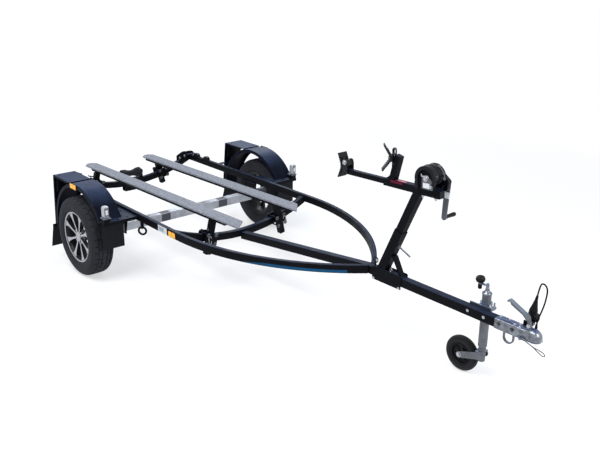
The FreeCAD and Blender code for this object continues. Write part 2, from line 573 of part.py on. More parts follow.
def make_mudguards():
    left_and_right("mudguard", mudguard().cut(tail_lamp()))
    both_sides("mudguard_brackets", joined(step(), lamp_foot()), guard_stay())
    both_sides("mud_flaps", front_flap(), rear_flap())
    both_sides("front_lamps", front_lamp())
    both_sides("tail_lamps", tail_lamp())
    both_sides("side_reflectors", guard_reflector(), rail_reflector())
    chassis("type_plate", type_plate())


# ==== bunks and keel roller ====================================================================================
def tilt_bunk(shape):
    """Raises a bunk piece to the front about its top over the wheel centres."""
    return turned(shape, -BUNK_TILT, V(0, 0, BUNK_TOP), Y_AXIS)


def bunk(ends, side):
    """Carpeted board on the left (+1) or right (-1): its rear corners are cut off and its front end is skew."""
    rear, front_inner, front_outer = ends
    inner, outer, foot = BUNK_Y - BUNK_W / 2, BUNK_Y + BUNK_W / 2, BUNK_TOP - BUNK_T
    outline = [(rear, inner + BUNK_CORNER), (rear + BUNK_CORNER, inner), (front_inner, inner),
               (front_outer, outer), (rear + BUNK_CORNER, outer), (rear, outer - BUNK_CORNER)]
    return tilt_bunk(prism([V(x, side * y, foot) for x, y in outline], V(0, 0, BUNK_T)))


def bunk_bar():
    """Steel strip under the board, which the posts carry."""
    half, top = BUNK_BAR_W / 2, BUNK_TOP - BUNK_T
    return tilt_bunk(box(BUNK_BAR_REAR, BUNK_BAR_FRONT, BUNK_Y - half, BUNK_Y + half, top - BUNK_BAR_H, top))


def above_bunk_bar():
    """All the space over the underside of the bunk's strip."""
    return tilt_bunk(box(BUNK_BAR_REAR, BUNK_BAR_FRONT, 0, 2 * BUNK_Y, BUNK_TOP - BUNK_T - BUNK_BAR_H, 1000))


def post_x(cross_x, side):
    """A post stands against the front (+1) or rear (-1) face of its crossmember."""
    return cross_x + side * (CROSS_W / 2 + POST_W / 2)


def post_angle():
    """Degrees round the crossmember's arc at which a post's head lies under its bunk."""
    rise = CROSS_TOP + CROSS_RADIUS - (BUNK_TOP - BUNK_T - BUNK_BAR_H)
    return math.degrees(math.atan(POST_Y / rise))


def to_post(shape):
    """Swings a piece from the crossmember's middle round its arc to a left post."""
    return turned(shape, post_angle(), V(0, 0, CROSS_TOP + CROSS_RADIUS), X_AXIS)


def bunk_post(cross_x, side):
    """Square post, square to the crossmember's arc, cut off under its bunk."""
    tube = square_tube(post_x(cross_x, side), 0, CROSS_TOP - POST_BELOW, BUNK_TOP + 60, POST_W, POST_WALL)
    return to_post(tube).cut(above_bunk_bar())


def post_clamp(cross_x, side):
    """Two plates and four bolts that hold a post against its crossmember."""
    half, spread = CLAMP_W / 2, POST_W / 2 + 12
    face = post_x(cross_x, side) + side * POST_W / 2
    back = cross_x - side * CROSS_W / 2
    foot, top = cross_foot(spread) - CLAMP_REACH, cross_top(spread) + CLAMP_REACH

    def plate(x0, x1):
        return box(min(x0, x1), max(x0, x1), -half, half, foot, top)

    pieces = [plate(face, face + side * CLAMP_PLATE), plate(back, back - side * CLAMP_PLATE)]
    for y in (-spread, spread):
        for z in (cross_foot(0) - BOLT_RADIUS - 2, cross_top(spread) + BOLT_RADIUS + 2):
            pieces.append(rod(V(back - side * (CLAMP_PLATE + 7), y, z), V(face + side * (CLAMP_PLATE + 7), y, z),
                              BOLT_RADIUS))
    return to_post(joined(*pieces))


def roller_z():
    return CROSS_TOP + ROLLER_LIFT


def keel_roller():
    """Rubber roller with a waist for the keel."""
    end, waist, half = ROLLER_RADIUS, ROLLER_WAIST, ROLLER_L / 2
    bore = ROLLER_PIN + RUN_GAP
    return lathe([(bore, -half), (end - 6, -half), (end, -half + 8), (end, -half + 26), (waist, -8), (waist, 8),
                  (end, half - 26), (end, half - 8), (end - 6, half), (bore, half)], REAR_CROSS_X, roller_z())


def roller_bracket():
    """Fork that is clamped on the middle of the rear crossmember, with the roller's pin."""
    half = ROLLER_L / 2 + EAR_GAP
    x0, x1 = REAR_CROSS_X - EAR_W / 2, REAR_CROSS_X + EAR_W / 2
    base_z = cross_top(half + EAR_T)
    base = box(x0, x1, -half - EAR_T, half + EAR_T, CROSS_TOP - 1, base_z + EAR_T)
    back, front, t = REAR_CROSS_X - CROSS_W / 2, REAR_CROSS_X + CROSS_W / 2, SHACKLE_T
    bridge = box(back - t, front + t, SHACKLE_RIGHT, SHACKLE_LEFT, base_z, base_z + EAR_T)
    pieces = [base, bridge, cross_rod(REAR_CROSS_X, roller_z(), -half - EAR_T - 8, half + EAR_T + 8, ROLLER_PIN)]
    for y in (-half - EAR_T, half):
        pieces.append(box(x0, x1, y, y + EAR_T, base_z, roller_z() + 22))
    fork = joined(*pieces).cut(cross_bar(REAR_CROSS_X, -RUN_GAP))
    foot = CROSS_TOP - CROSS_H - SHACKLE_DROP
    shackle = [box(back - t, front + t, SHACKLE_RIGHT, SHACKLE_LEFT, foot, foot + t)]
    for x in (back - t, front):
        shackle.append(box(x, x + t, SHACKLE_RIGHT, SHACKLE_LEFT, foot, base_z + 1))
    return joined(fork, *shackle)


def make_bunks():
    chassis("bunks", bunk(BUNK_LEFT, 1), bunk(BUNK_RIGHT, -1))
    both_sides("bunk_bars", bunk_bar())
    for cross_x, side in ((FRONT_CROSS_X, 1), (REAR_CROSS_X, -1)):
        both_sides("bunk_posts", bunk_post(cross_x, side))
        both_sides("post_clamps", post_clamp(cross_x, side))
    chassis("keel_roller", keel_roller())
    chassis("roller_bracket", roller_bracket())


# ==== winch mast ===============================================================================================
HEAD_X = MAST_FOOT_X + (BEAM_BOTTOM - BAR_TOP) * math.tan(math.radians(MAST_LEAN))
BEAM_TOP = BEAM_BOTTOM + BEAM_SIZE


def lean(shape):
    """Leans an upright piece forward about the mast's foot."""
    return turned(shape, MAST_LEAN, V(MAST_FOOT_X, 0, BAR_TOP), Y_AXIS)


def head(shape):
    """Tilts a level piece with the beam, about the top of the mast."""
    return turned(shape, -BEAM_TILT, V(HEAD_X, 0, BEAM_BOTTOM), Y_AXIS)


def mast_sleeve():
    """Socket of the mast, with side plates on the drawbar, a brace in front and the clamp's T-bolt."""
    size = MAST_SIZE + 2 * (SLIDE_GAP + SLEEVE_WALL)
    half = size / 2
    tube = lean(square_tube(MAST_FOOT_X, 0, BAR_TOP - 60, BAR_TOP + SLEEVE_LEN, size, SLEEVE_WALL))
    tube = tube.cut(box(MAST_FOOT_X - 300, MAST_FOOT_X + 300, -100, 100, 0, BAR_TOP))
    pieces = [tube]
    edge = BAR_W / 2
    for y in (-edge - SLEEVE_PLATE_T, edge):
        pieces.append(box(SLEEVE_PLATE_REAR, SLEEVE_PLATE_FRONT, y, y + SLEEVE_PLATE_T,
                          BAR_TOP - SLEEVE_PLATE_DROP, BAR_TOP + 14))
    slope = math.tan(math.radians(MAST_LEAN))
    front = MAST_FOOT_X + half / math.cos(math.radians(MAST_LEAN))
    pieces.append(side_prism([(front - 2, BAR_TOP), (SLEEVE_PLATE_FRONT - 6, BAR_TOP),
                              (front + BRACE_LIFT * slope - 2, BAR_TOP + BRACE_LIFT)], -BRACE_T / 2, BRACE_T / 2))
    at = BAR_TOP + T_BOLT_AT
    nut = rod(V(MAST_FOOT_X + half - 1, 0, at), V(MAST_FOOT_X + half + 10, 0, at), 11)
    bolt = rod(V(MAST_FOOT_X + MAST_SIZE / 2 + SLIDE_GAP / 2, 0, at), V(MAST_FOOT_X + half + T_BOLT_LEN, 0, at),
               T_BOLT_RADIUS)
    pieces += [lean(nut), lean(bolt)]
    return joined(*pieces).cut(side_prism(bar_outline(0, 1000, BAR_FRONT), -edge, edge))


def mast_tube():
    """Inner tube of the mast, cut off under the beam."""
    tube = lean(square_tube(MAST_FOOT_X, 0, BAR_TOP + MAST_TAIL, BAR_TOP + 700, MAST_SIZE, MAST_WALL))
    return tube.cut(head(box(HEAD_X - 400, HEAD_X + 400, -100, 100, BEAM_BOTTOM, BEAM_BOTTOM + 400)))


def beam_box(size, x0, x1):
    middle = BEAM_BOTTOM + BEAM_SIZE / 2
    return box(x0, x1, -size / 2, size / 2, middle - size / 2, middle + size / 2)


def upright_bar(size, z0, z1):
    """The upright's bar, leaning forward from the beam's top."""
    bar = box(UPRIGHT_X - size / 2, UPRIGHT_X + size / 2, -size / 2, size / 2, z0, z1)
    return turned(bar, UPRIGHT_LEAN, V(UPRIGHT_X, 0, BEAM_TOP), Y_AXIS)


def winch_beam():
    """Beam on top of the mast, open at the rear for the bow arm, with the upright for the upper pad."""
    beam = beam_box(BEAM_SIZE, BEAM_REAR, BEAM_FRONT)
    upright = upright_bar(UPRIGHT_SIZE, BEAM_TOP - 40, BEAM_TOP + UPRIGHT_LEN)
    upright = upright.cut(box(BEAM_REAR, BEAM_FRONT, -50, 50, BEAM_BOTTOM - 100, BEAM_TOP))
    rear = UPRIGHT_X - UPRIGHT_SIZE / 2
    gusset = side_prism([(rear - GUSSET, BEAM_TOP), (rear + GUSSET, BEAM_TOP),
                         (rear + GUSSET, BEAM_TOP + 2 * GUSSET)],
                        -BRACE_T / 2, BRACE_T / 2)
    whole = joined(beam, upright, gusset, top_pad_block())
    hollow = beam_box(BEAM_SIZE - 2 * BEAM_WALL, BEAM_REAR - 1, BEAM_FRONT + 1)
    return head(whole.cut(hollow))


def bow_arm():
    """Square tube that slides in the beam and carries the lower pad."""
    size = BEAM_SIZE - 2 * (BEAM_WALL + SLIDE_GAP)
    tube = beam_box(size, ARM_REAR, BEAM_REAR + ARM_INSIDE)
    tube = tube.cut(beam_box(size - 2 * MAST_WALL, ARM_REAR - 1, BEAM_REAR + ARM_INSIDE + 1))
    return head(joined(tube, rear_pad_block()))


def pad(x, z, width, length, opening, pitch):
    """V-shaped rubber pad that opens to the rear, with its tip at (x, z) and its leaves pitched."""
    leaves = []
    for side in (1, -1):
        leaf = box(-length, 0, -width / 2, width / 2, 0 if side > 0 else -PAD_T, PAD_T if side > 0 else 0)
        leaves.append(turned(leaf, side * opening + pitch, V(0, 0, 0), Y_AXIS))
    root = side_prism([(-6, -24), (-6, 24), (10, 15), (10, -15)], -width / 2, width / 2)
    whole = joined(*leaves, root)
    whole.translate(V(x, 0, z))
    return whole


def rear_pad_place():
    """Tip of the lower pad, and the height of its middle."""
    return ARM_REAR - 10 - REAR_BLOCK_T, BEAM_BOTTOM + BEAM_SIZE / 2 + REAR_PAD_LIFT


def rear_pad_block():
    """Plate that stands on the bow arm's end, behind the lower pad."""
    x, z = rear_pad_place()
    half = PAD_BLOCK / 2
    foot = BEAM_BOTTOM + BEAM_WALL + SLIDE_GAP
    return box(x + 10, ARM_REAR, -half, half, foot, z + half)


def top_pad_place():
    """Where the upper pad's pivot meets the upright's rear face, and the height of its middle."""
    turn = math.radians(UPRIGHT_LEAN)
    reach = UPRIGHT_LEN - TOP_PAD_DROP
    z = BEAM_TOP + reach * math.cos(turn)
    return UPRIGHT_X + reach * math.sin(turn) - UPRIGHT_SIZE / 2 / math.cos(turn), z


def top_pad_piece(shape):
    """Swings a piece of the upper pad sideways about its pivot."""
    x, z = top_pad_place()
    return turned(shape, TOP_PAD_YAW, V(x - TOP_BLOCK_T / 2, 0, z), Z_AXIS)


def top_pad_block():
    """Bracket behind the upper pad with its pivot's head on top, and the neck that joins it to the upright."""
    x, z = top_pad_place()
    half, pivot = PAD_BLOCK / 2, x - TOP_BLOCK_T / 2
    block = top_pad_piece(box(x - TOP_BLOCK_T, x, -half, half, z + HINGE_FOOT, z + HINGE_TOP))
    cap = rod(V(pivot, 0, z + HINGE_TOP), V(pivot, 0, z + HINGE_TOP + 6), TOP_BLOCK_T / 2)
    neck = rod(V(pivot + 4, 0, z), V(x + half, 0, z), half - 3)
    return joined(block, neck, cap)


def make_pads():
    x, z = rear_pad_place()
    chassis("rear_bow_pad", head(pad(x, z, REAR_PAD_W, REAR_PAD_LEN, REAR_PAD_OPEN, 0)))
    x, z = top_pad_place()
    rubber = top_pad_piece(pad(x - TOP_BLOCK_T - 10, z, TOP_PAD_W, TOP_PAD_LEN, TOP_PAD_OPEN, TOP_PAD_PITCH))
    chassis("top_bow_pad", head(rubber))


# ==== winch ====================================================================================================
DRUM_Z = BEAM_TOP + DRUM_LIFT
CRANK_Z = BEAM_TOP + CRANK_LIFT


def winch_frame():
    """Two side plates on a foot: they carry the drum's shaft and the crank's shaft."""
    inner, outer = WINCH_HALF - WINCH_PLATE, WINCH_HALF
    pieces = [box(DRUM_X - WINCH_FOOT_HALF, DRUM_X + WINCH_FOOT_HALF, -outer, outer, BEAM_TOP, BEAM_TOP + 4)]
    for y in (-outer, inner):
        pieces.append(cross_rod(DRUM_X, DRUM_Z, y, y + WINCH_PLATE, WINCH_RADIUS))
        pieces.append(box(DRUM_X - WINCH_FOOT_HALF, DRUM_X + WINCH_FOOT_HALF, y, y + WINCH_PLATE, BEAM_TOP, DRUM_Z))
    pieces.append(cross_rod(CRANK_X, CRANK_Z, inner, outer, CRANK_BOSS - 2))
    bores = [cross_rod(DRUM_X, DRUM_Z, -60, 60, DRUM_SHAFT + RUN_GAP),
             cross_rod(CRANK_X, CRANK_Z, inner - 4, 60, CRANK_SHAFT + RUN_GAP)]
    return head(joined(*pieces).cut(bores))


def winch_drum():
    """Drum with two flanges on its shaft."""
    inner = WINCH_HALF - WINCH_PLATE - 1.5
    return head(joined(cross_rod(DRUM_X, DRUM_Z, -WINCH_HALF - 3, WINCH_HALF + 3, DRUM_SHAFT),
                       cross_rod(DRUM_X, DRUM_Z, -inner, inner, DRUM_CORE),
                       cross_rod(DRUM_X, DRUM_Z, -inner, -inner + DRUM_FLANGE_T, DRUM_FLANGE),
                       cross_rod(DRUM_X, DRUM_Z, inner - DRUM_FLANGE_T, inner, DRUM_FLANGE)))


def winch_cover():
    """Arched guard over the drum, resting on the rims of the side plates."""
    half = WINCH_HALF + COVER_OVER
    band = cross_ring(DRUM_X, DRUM_Z, -half, half, WINCH_RADIUS + COVER_T, WINCH_RADIUS + COVER_GAP)
    below = box(DRUM_X - 200, DRUM_X + 200, -100, 100, DRUM_Z - 200, DRUM_Z - 4)
    return head(band.cut([below, gear_shell(COVER_GAP)]))


def belt(big, small, y0, y1):
    """Two discs, each given as (x, z, radius), and the flat band that wraps them."""
    (x0, z0, r0), (x1, z1, r1) = big, small
    away, lean_in = math.atan2(z1 - z0, x1 - x0), math.acos((r0 - r1) / math.hypot(x1 - x0, z1 - z0))
    corners = []
    for x, z, radius, order in ((x0, z0, r0, (1, -1)), (x1, z1, r1, (-1, 1))):
        corners += [(x + radius * math.cos(away + side * lean_in), z + radius * math.sin(away + side * lean_in))
                    for side in order]
    return joined(cross_rod(x0, z0, y0, y1, r0), cross_rod(x1, z1, y0, y1, r1), side_prism(corners, y0, y1))


def gear_shell(gap):
    """Outside of the gears' cover, grown by a gap."""
    return belt((DRUM_X - GEAR_BOX_BACK, DRUM_Z, GEAR_BOX_RADIUS + gap), (CRANK_X, CRANK_Z, CRANK_BOSS + gap),
                WINCH_HALF - gap, WINCH_HALF + COVER_OVER + GEAR_BOX_T + gap)


def gear_cover():
    """Closed cover over the gears on the crank's side, which reaches down round the crank's shaft."""
    hollow = cross_rod(DRUM_X, DRUM_Z, WINCH_HALF - 1, WINCH_HALF + 8, DRUM_SHAFT + 6)
    shaft = cross_rod(CRANK_X, CRANK_Z, 0, WINCH_HALF + COVER_OVER + GEAR_BOX_T + 1, CRANK_SHAFT + RUN_GAP)
    return head(gear_shell(0).cut([hollow, shaft]))


def crank_turn(shape):
    return turned(shape, CRANK_LEAN, V(CRANK_X, 0, CRANK_Z), Y_AXIS)


def winch_crank():
    """Crank arm on its shaft."""
    y = WINCH_HALF + COVER_OVER + GEAR_BOX_T + 2
    foot = CRANK_Z - CRANK_ARM
    pieces = [cross_rod(CRANK_X, CRANK_Z, WINCH_HALF - WINCH_PLATE - 1, y + CRANK_T + 4, CRANK_SHAFT),
              cross_rod(CRANK_X, CRANK_Z, y, y + CRANK_T, CRANK_W / 2 + 3),
              cross_rod(CRANK_X, foot, y, y + CRANK_T, CRANK_W / 2),
              cross_rod(CRANK_X, foot, y, y + CRANK_T + GRIP_LEN, GRIP_PIN),
              box(CRANK_X - CRANK_W / 2, CRANK_X + CRANK_W / 2, y, y + CRANK_T, foot, CRANK_Z)]
    return head(crank_turn(joined(*pieces)))


def crank_grip():
    y = WINCH_HALF + COVER_OVER + GEAR_BOX_T + 2 + CRANK_T
    foot = CRANK_Z - CRANK_ARM
    grip = cross_rod(CRANK_X, foot, y + 0.3, y + GRIP_LEN + 6, GRIP_RADIUS)
    return head(crank_turn(grip.cut(cross_rod(CRANK_X, foot, y - 1, y + GRIP_LEN, GRIP_PIN + RUN_GAP))))


def make_mast():
    chassis("mast_sleeve", mast_sleeve())
    chassis("mast_tube", mast_tube())
    chassis("winch_beam", winch_beam())
    chassis("bow_arm", bow_arm())
    make_pads()
    chassis("winch_frame", winch_frame())
    chassis("winch_drum", winch_drum())
    chassis("winch_covers", winch_cover(), gear_cover())
    chassis("winch_crank", winch_crank())
    chassis("crank_grip", crank_grip())


# ==== jockey wheel =============================================================================================
def jockey_rod(z0, z1, radius):
    return rod(V(JOCKEY_X, JOCKEY_Y, z0), V(JOCKEY_X, JOCKEY_Y, z1), radius)


def bar_middle_z():
    """Height of the drawbar's middle beside the jockey wheel, in the parked pose."""
    turn = math.radians(NOSE_DOWN)
    return TYRE_RADIUS - JOCKEY_X * math.sin(turn) + (BAR_TOP - BAR_H / 2 - TYRE_RADIUS) * math.cos(turn)


def jockey_clamp():
    """Split collar round the outer tube, on a plate against the drawbar's left side."""
    z, half = bar_middle_z(), JOCKEY_CLAMP_H / 2
    inset = 6.0
    plate = box(JOCKEY_X - JOCKEY_CLAMP_W, JOCKEY_X + JOCKEY_CLAMP_W,
                BAR_W / 2, BAR_W / 2 + 8, z - half + inset, z + half)
    block = box(JOCKEY_X - JOCKEY_OUTER, JOCKEY_X + JOCKEY_OUTER,
                BAR_W / 2, JOCKEY_Y, z - half + inset, z + half - inset)
    collar = jockey_rod(z - half, z + half, JOCKEY_OUTER + JOCKEY_CLAMP_WALL)
    handle = rod(V(JOCKEY_X + 28, JOCKEY_Y, z), V(JOCKEY_X + 28, JOCKEY_Y + 38, z), 11)
    return joined(plate, block, collar, handle).cut(jockey_rod(z - half - 1, z + half + 1, JOCKEY_OUTER))


def jockey_outer_tube():
    tube = jockey_rod(JOCKEY_TUBE_FOOT, JOCKEY_TUBE_TOP, JOCKEY_OUTER)
    return tube.cut(jockey_rod(JOCKEY_TUBE_FOOT - 1, JOCKEY_TUBE_TOP + 1, JOCKEY_OUTER - JOCKEY_WALL))


def jockey_cap():
    """Cone on top of the tube, with the crank handle for the spindle folded on it."""
    foot = V(JOCKEY_X, JOCKEY_Y, JOCKEY_TUBE_TOP)
    shoulder = Part.makeCone(JOCKEY_OUTER + 2, 12, 16, foot, Z_AXIS)
    peak = Part.makeCone(12, 6, 44, foot + V(0, 0, 16), Z_AXIS)
    arm_z = JOCKEY_TUBE_TOP + KNOB_ARM_Z
    arm = box(JOCKEY_X - KNOB_REACH - 9, JOCKEY_X + 8, JOCKEY_Y - 9, JOCKEY_Y + 9, arm_z, arm_z + KNOB_ARM_T)
    foot = V(JOCKEY_X - KNOB_REACH, JOCKEY_Y, arm_z - 1)
    pin = rod(foot, foot + V(0, 0, KNOB_ARM_T + 2), KNOB_STEM / 2 + RUN_GAP)
    return joined(shoulder, peak, arm).cut(pin)


def jockey_knob():
    """Round knob on the end of the arm, with a stem below the arm."""
    def part(z0, z1, radius):
        return rod(V(JOCKEY_X - KNOB_REACH, JOCKEY_Y, z0), V(JOCKEY_X - KNOB_REACH, JOCKEY_Y, z1), radius)
    low = JOCKEY_TUBE_TOP + KNOB_ARM_Z
    top = low + KNOB_ARM_T
    return joined(part(low - KNOB_STEM_H, low, KNOB_STEM), part(low - 1, top + 1, KNOB_STEM / 2),
                  part(top, top + KNOB_H, KNOB_RADIUS))


def jockey_inner_tube():
    """Tube that slides in the outer one, with a pin at its foot that the fork turns on."""
    top, guide = JOCKEY_TUBE_TOP - 14, JOCKEY_OUTER - JOCKEY_WALL - SLIDE_GAP
    tube = jockey_rod(JOCKEY_SWIVEL_Z + 12, top, JOCKEY_INNER)
    guides = [jockey_rod(z, z + 20, guide) for z in (top - 20, top - 60)]
    collar = jockey_rod(JOCKEY_SWIVEL_Z, JOCKEY_SWIVEL_Z + 12, JOCKEY_INNER + 3)
    pin = jockey_rod(JOCKEY_SWIVEL_Z - FORK_T - 4, JOCKEY_SWIVEL_Z + 1, JOCKEY_PIN)
    rivet = jockey_rod(JOCKEY_SWIVEL_Z - FORK_T - 7, JOCKEY_SWIVEL_Z - FORK_T - 1.3, JOCKEY_PIN + 5)
    return joined(tube, *guides, collar, pin, rivet)


def jockey_fork():
    """Fork that trails behind its swivel pin, with the wheel's axle."""
    wheel_x, y = JOCKEY_X - JOCKEY_TRAIL, JOCKEY_Y
    inner = JOCKEY_WIDTH / 2 + FORK_GAP
    top = JOCKEY_SWIVEL_Z - FORK_GAP / 4
    crown = box(JOCKEY_X - FORK_W / 2, JOCKEY_X + FORK_W / 2, y - inner - FORK_T, y + inner + FORK_T, top - FORK_T, top)
    pieces = [crown, cross_rod(wheel_x, JOCKEY_RADIUS, y - inner - FORK_T - 6, y + inner + FORK_T + 6, JOCKEY_PIN)]
    for y0 in (y - inner - FORK_T, y + inner):
        pieces.append(side_prism([(JOCKEY_X + FORK_W / 2, top), (JOCKEY_X - FORK_W / 2, top),
                                  (wheel_x - 16, JOCKEY_RADIUS + 18), (wheel_x - 16, JOCKEY_RADIUS - 16),
                                  (wheel_x + 10, JOCKEY_RADIUS - 18), (JOCKEY_X + FORK_W / 2, top - 34)],
                                 y0, y0 + FORK_T))
    stub = jockey_rod(STUB_FOOT, top - FORK_T, STUB_OUTER).cut(jockey_rod(STUB_FOOT + 4, top, STUB_INNER))
    return joined(*pieces, stub).cut(jockey_rod(top - FORK_T - 1, top + 1, JOCKEY_PIN + RUN_GAP))


def jockey_wheel_parts():
    x, z, y = JOCKEY_X - JOCKEY_TRAIL, JOCKEY_RADIUS, JOCKEY_Y
    half = JOCKEY_WIDTH / 2
    tread = lathe([(JOCKEY_RIM, y - half), (JOCKEY_RADIUS - 10, y - half), (JOCKEY_RADIUS, y - half + 12),
                   (JOCKEY_RADIUS, y + half - 12), (JOCKEY_RADIUS - 10, y + half), (JOCKEY_RIM, y + half)], x, z)
    bore = JOCKEY_PIN + RUN_GAP
    centre = lathe([(bore, y - half - 2), (20, y - half - 2), (20, y - 6), (JOCKEY_RIM - 8, y - 6),
                    (JOCKEY_RIM - 8, y - half), (JOCKEY_RIM, y - half), (JOCKEY_RIM, y + half),
                    (JOCKEY_RIM - 8, y + half), (JOCKEY_RIM - 8, y + 6), (20, y + 6), (20, y + half + 2),
                    (bore, y + half + 2)], x, z)
    return tread, centre


def make_jockey():
    keep("jockey_clamp", jockey_clamp())
    keep("jockey_outer_tube", jockey_outer_tube())
    keep("jockey_cap", jockey_cap())
    keep("jockey_knob", jockey_knob())
    keep("jockey_inner_tube", jockey_inner_tube())
    keep("jockey_fork", jockey_fork())
    tread, centre = jockey_wheel_parts()
    keep("jockey_tyre", tread)
    keep("jockey_rim", centre)


# ==== coupling =================================================================================================
def cup(radius, skirt):
    """Half ball over a straight skirt, about the tow ball's centre."""
    profile = [line(V(0, 0, -skirt), V(radius, 0, -skirt)), line(V(radius, 0, -skirt), V(radius, 0, 0)),
               arc(V(radius, 0, 0), V(radius * math.sqrt(0.5), 0, radius * math.sqrt(0.5)), V(0, 0, radius)),
               line(V(0, 0, radius), V(0, 0, -skirt))]
    solid = Part.Face(Part.Wire(profile)).revolve(V(0, 0, 0), Z_AXIS, 360)
    solid.translate(V(BALL_X, 0, BALL_Z))
    return solid


def coupling_body():
    """Pressed coupling: a channel over the drawbar's end, and a head with the ball socket."""
    half, top = COUPLING_W / 2, BAR_TOP + COUPLING_PLATE
    channel = box(COUPLING_REAR, BALL_X - 60, -half, half, COUPLING_FOOT, top)
    inner = half - COUPLING_PLATE
    channel = channel.cut(box(COUPLING_REAR - 1, BALL_X - 75, -inner, inner, 0, BAR_TOP))
    dome = cup(HEAD_RADIUS, SOCKET_SKIRT)
    neck = prism([V(BALL_X - 61, -half, BALL_Z - SOCKET_SKIRT), V(BALL_X - 61, half, BALL_Z - SOCKET_SKIRT),
                  V(BALL_X, HEAD_RADIUS * 0.7, BALL_Z - SOCKET_SKIRT),
                  V(BALL_X, -HEAD_RADIUS * 0.7, BALL_Z - SOCKET_SKIRT)], V(0, 0, top - 14 - BALL_Z + SOCKET_SKIRT))
    return joined(channel, dome, neck, breakaway_lug()).cut(cup(SOCKET_RADIUS, SOCKET_SKIRT + 1))


def coupling_handle():
    """Latch handle on the head, lying back over the drawbar."""
    half = HANDLE_W / 2
    outline = [(-14, 3), (-20, 10), (-48, 70), (-71, 88), (-154, 118), (-159, 104), (-77, 73), (-61, 45), (-56, 3)]
    bar = side_prism([(BALL_X + x, BAR_TOP + z) for x, z in outline], -half, half)
    return bar.cut([coupling_body(), cup(HEAD_RADIUS + RUN_GAP, SOCKET_SKIRT)])


def safety_ring():
    """Flat steel loop under the coupling."""
    top = BAR_TOP - BAR_H
    z, half = top - RING_DROP, RING_W / 2

    def loop(radius, width):
        return joined(cross_rod(RING_X, z, -width, width, radius),
                      box(RING_X - radius, RING_X + radius, -width, width, z, top))

    plate = box(RING_X - 40, RING_X + 40, -20, 20, top - 5, top)
    return joined(loop(RING_RADIUS, half).cut(loop(RING_RADIUS - RING_T, half + 1)), plate)


# ==== plug and cables ==========================================================================================
def route_tube(points, radius):
    """A round cord along straight runs that are joined by tangent arcs. Prints its bends."""
    path, radii, start = [], [], points[0]
    for before, corner, after in zip(points, points[1:], points[2:]):
        back, ahead = before - corner, after - corner
        turn = math.pi - back.getAngle(ahead)
        bend = 0.45 * min(back.Length, ahead.Length) / math.tan(turn / 2)
        reach = bend * math.tan(turn / 2)
        first, last = corner + back.normalize() * reach, corner + ahead.normalize() * reach
        to_centre = (back + ahead).normalize()
        middle = corner + to_centre * (bend / math.cos(turn / 2) - bend)
        path += [line(start, first), arc(first, middle, last)]
        radii.append(round(bend, 1))
        start = last
    path.append(line(start, points[-1]))
    wire = Part.Wire(path)
    ring = Part.Wire(Part.Circle(points[0], points[1] - points[0], radius).toShape())
    tube = wire.makePipeShell([ring], True, False)
    solid = tube if tube.Solids else Part.Solid(tube)
    ratio = solid.Volume / (math.pi * radius ** 2 * wire.Length)
    print(f"cord radius {radius}: length {wire.Length:.0f}, bends {radii}, volume ratio {ratio:.4f}")
    return solid


def plug_turn(shape):
    return turned(shape, PLUG_LEAN, V(PLUG_X, PLUG_Y, PLUG_FOOT), Y_AXIS)


def plug_point(along):
    """A point on the leaning plug's axis."""
    turn = math.radians(PLUG_LEAN)
    return V(PLUG_X + along * math.sin(turn), PLUG_Y, PLUG_FOOT + along * math.cos(turn))


def plug():
    """Round connector that stands parked in its holder, cable end up."""
    def part(z0, z1, radius):
        return rod(V(PLUG_X, PLUG_Y, PLUG_FOOT + z0), V(PLUG_X, PLUG_Y, PLUG_FOOT + z1), radius)
    barrel, neck = 62.0, 108.0
    taper = Part.makeCone(PLUG_RADIUS, PLUG_NECK + 2, neck - barrel, V(PLUG_X, PLUG_Y, PLUG_FOOT + barrel), Z_AXIS)
    top = V(PLUG_X, PLUG_Y, PLUG_FOOT + neck)
    relief = Part.makeCone(PLUG_NECK, CABLE_RADIUS + 1.5, PLUG_LEN - neck, top, Z_AXIS)
    return plug_turn(joined(part(0, 16, PLUG_RADIUS - 3), part(16, barrel, PLUG_RADIUS), taper, relief))


def plug_holder():
    """Parking cup for the plug with its cap's hinge, and the gland of its cable, on a tongue from the coupling."""
    side = COUPLING_W / 2
    cup = rod(V(PLUG_X, PLUG_Y, PLUG_FOOT - 12), V(PLUG_X, PLUG_Y, PLUG_FOOT + 14), PLUG_RADIUS + 2)
    seat = rod(V(PLUG_X, PLUG_Y, PLUG_FOOT), V(PLUG_X, PLUG_Y, PLUG_FOOT + 20), PLUG_RADIUS - 2.6)
    tongue = box(PLUG_X - 24, PLUG_X + 24, side, side + HOLDER_T, COUPLING_FOOT + 4, PLUG_FOOT + 4)
    shelf = box(PLUG_X - 18, PLUG_X + 18, side, PLUG_Y, PLUG_FOOT - 12 - HOLDER_T, PLUG_FOOT - 9)
    end = CABLE_ROUTE[-1]
    gland = box(end.x - 10, end.x + 8, side, end.y + 8, end.z - 26, end.z).cut(coupling_body())
    return joined(plug_turn(cup), tongue, shelf, gland).cut(plug_turn(seat))


CABLE_ROUTE = [V(3008.8, 47.3, 721.2), V(3030.0, 38.7, 719.6), V(3044.3, 32.9, 702.6), V(3041.5, 34, 660),
               V(3034.5, 36.6, 619), V(3023.6, 40.3, 580), V(3011.4, 44.8, 544), V(3004, 47.5, 507), V(3004, 47.5, 478)]
CABLE_RISE = 57.0           # straight run out of the plug
BREAKAWAY_ROUTE = [V(2982, -38, 447), V(3002, -38, 447), V(3024, -39, 440), V(3047, -40, 433.5)]


def plug_cable():
    return route_tube([plug_point(PLUG_LEN), plug_point(PLUG_LEN + CABLE_RISE)] + CABLE_ROUTE, CABLE_RADIUS)


def breakaway_cable():
    return route_tube(BREAKAWAY_ROUTE, BREAKAWAY_RADIUS)


def breakaway_lug():
    start = BREAKAWAY_ROUTE[0]
    return box(start.x - 14, start.x, start.y - 6, -COUPLING_W / 2 + 1, start.z - 6, start.z + 6)


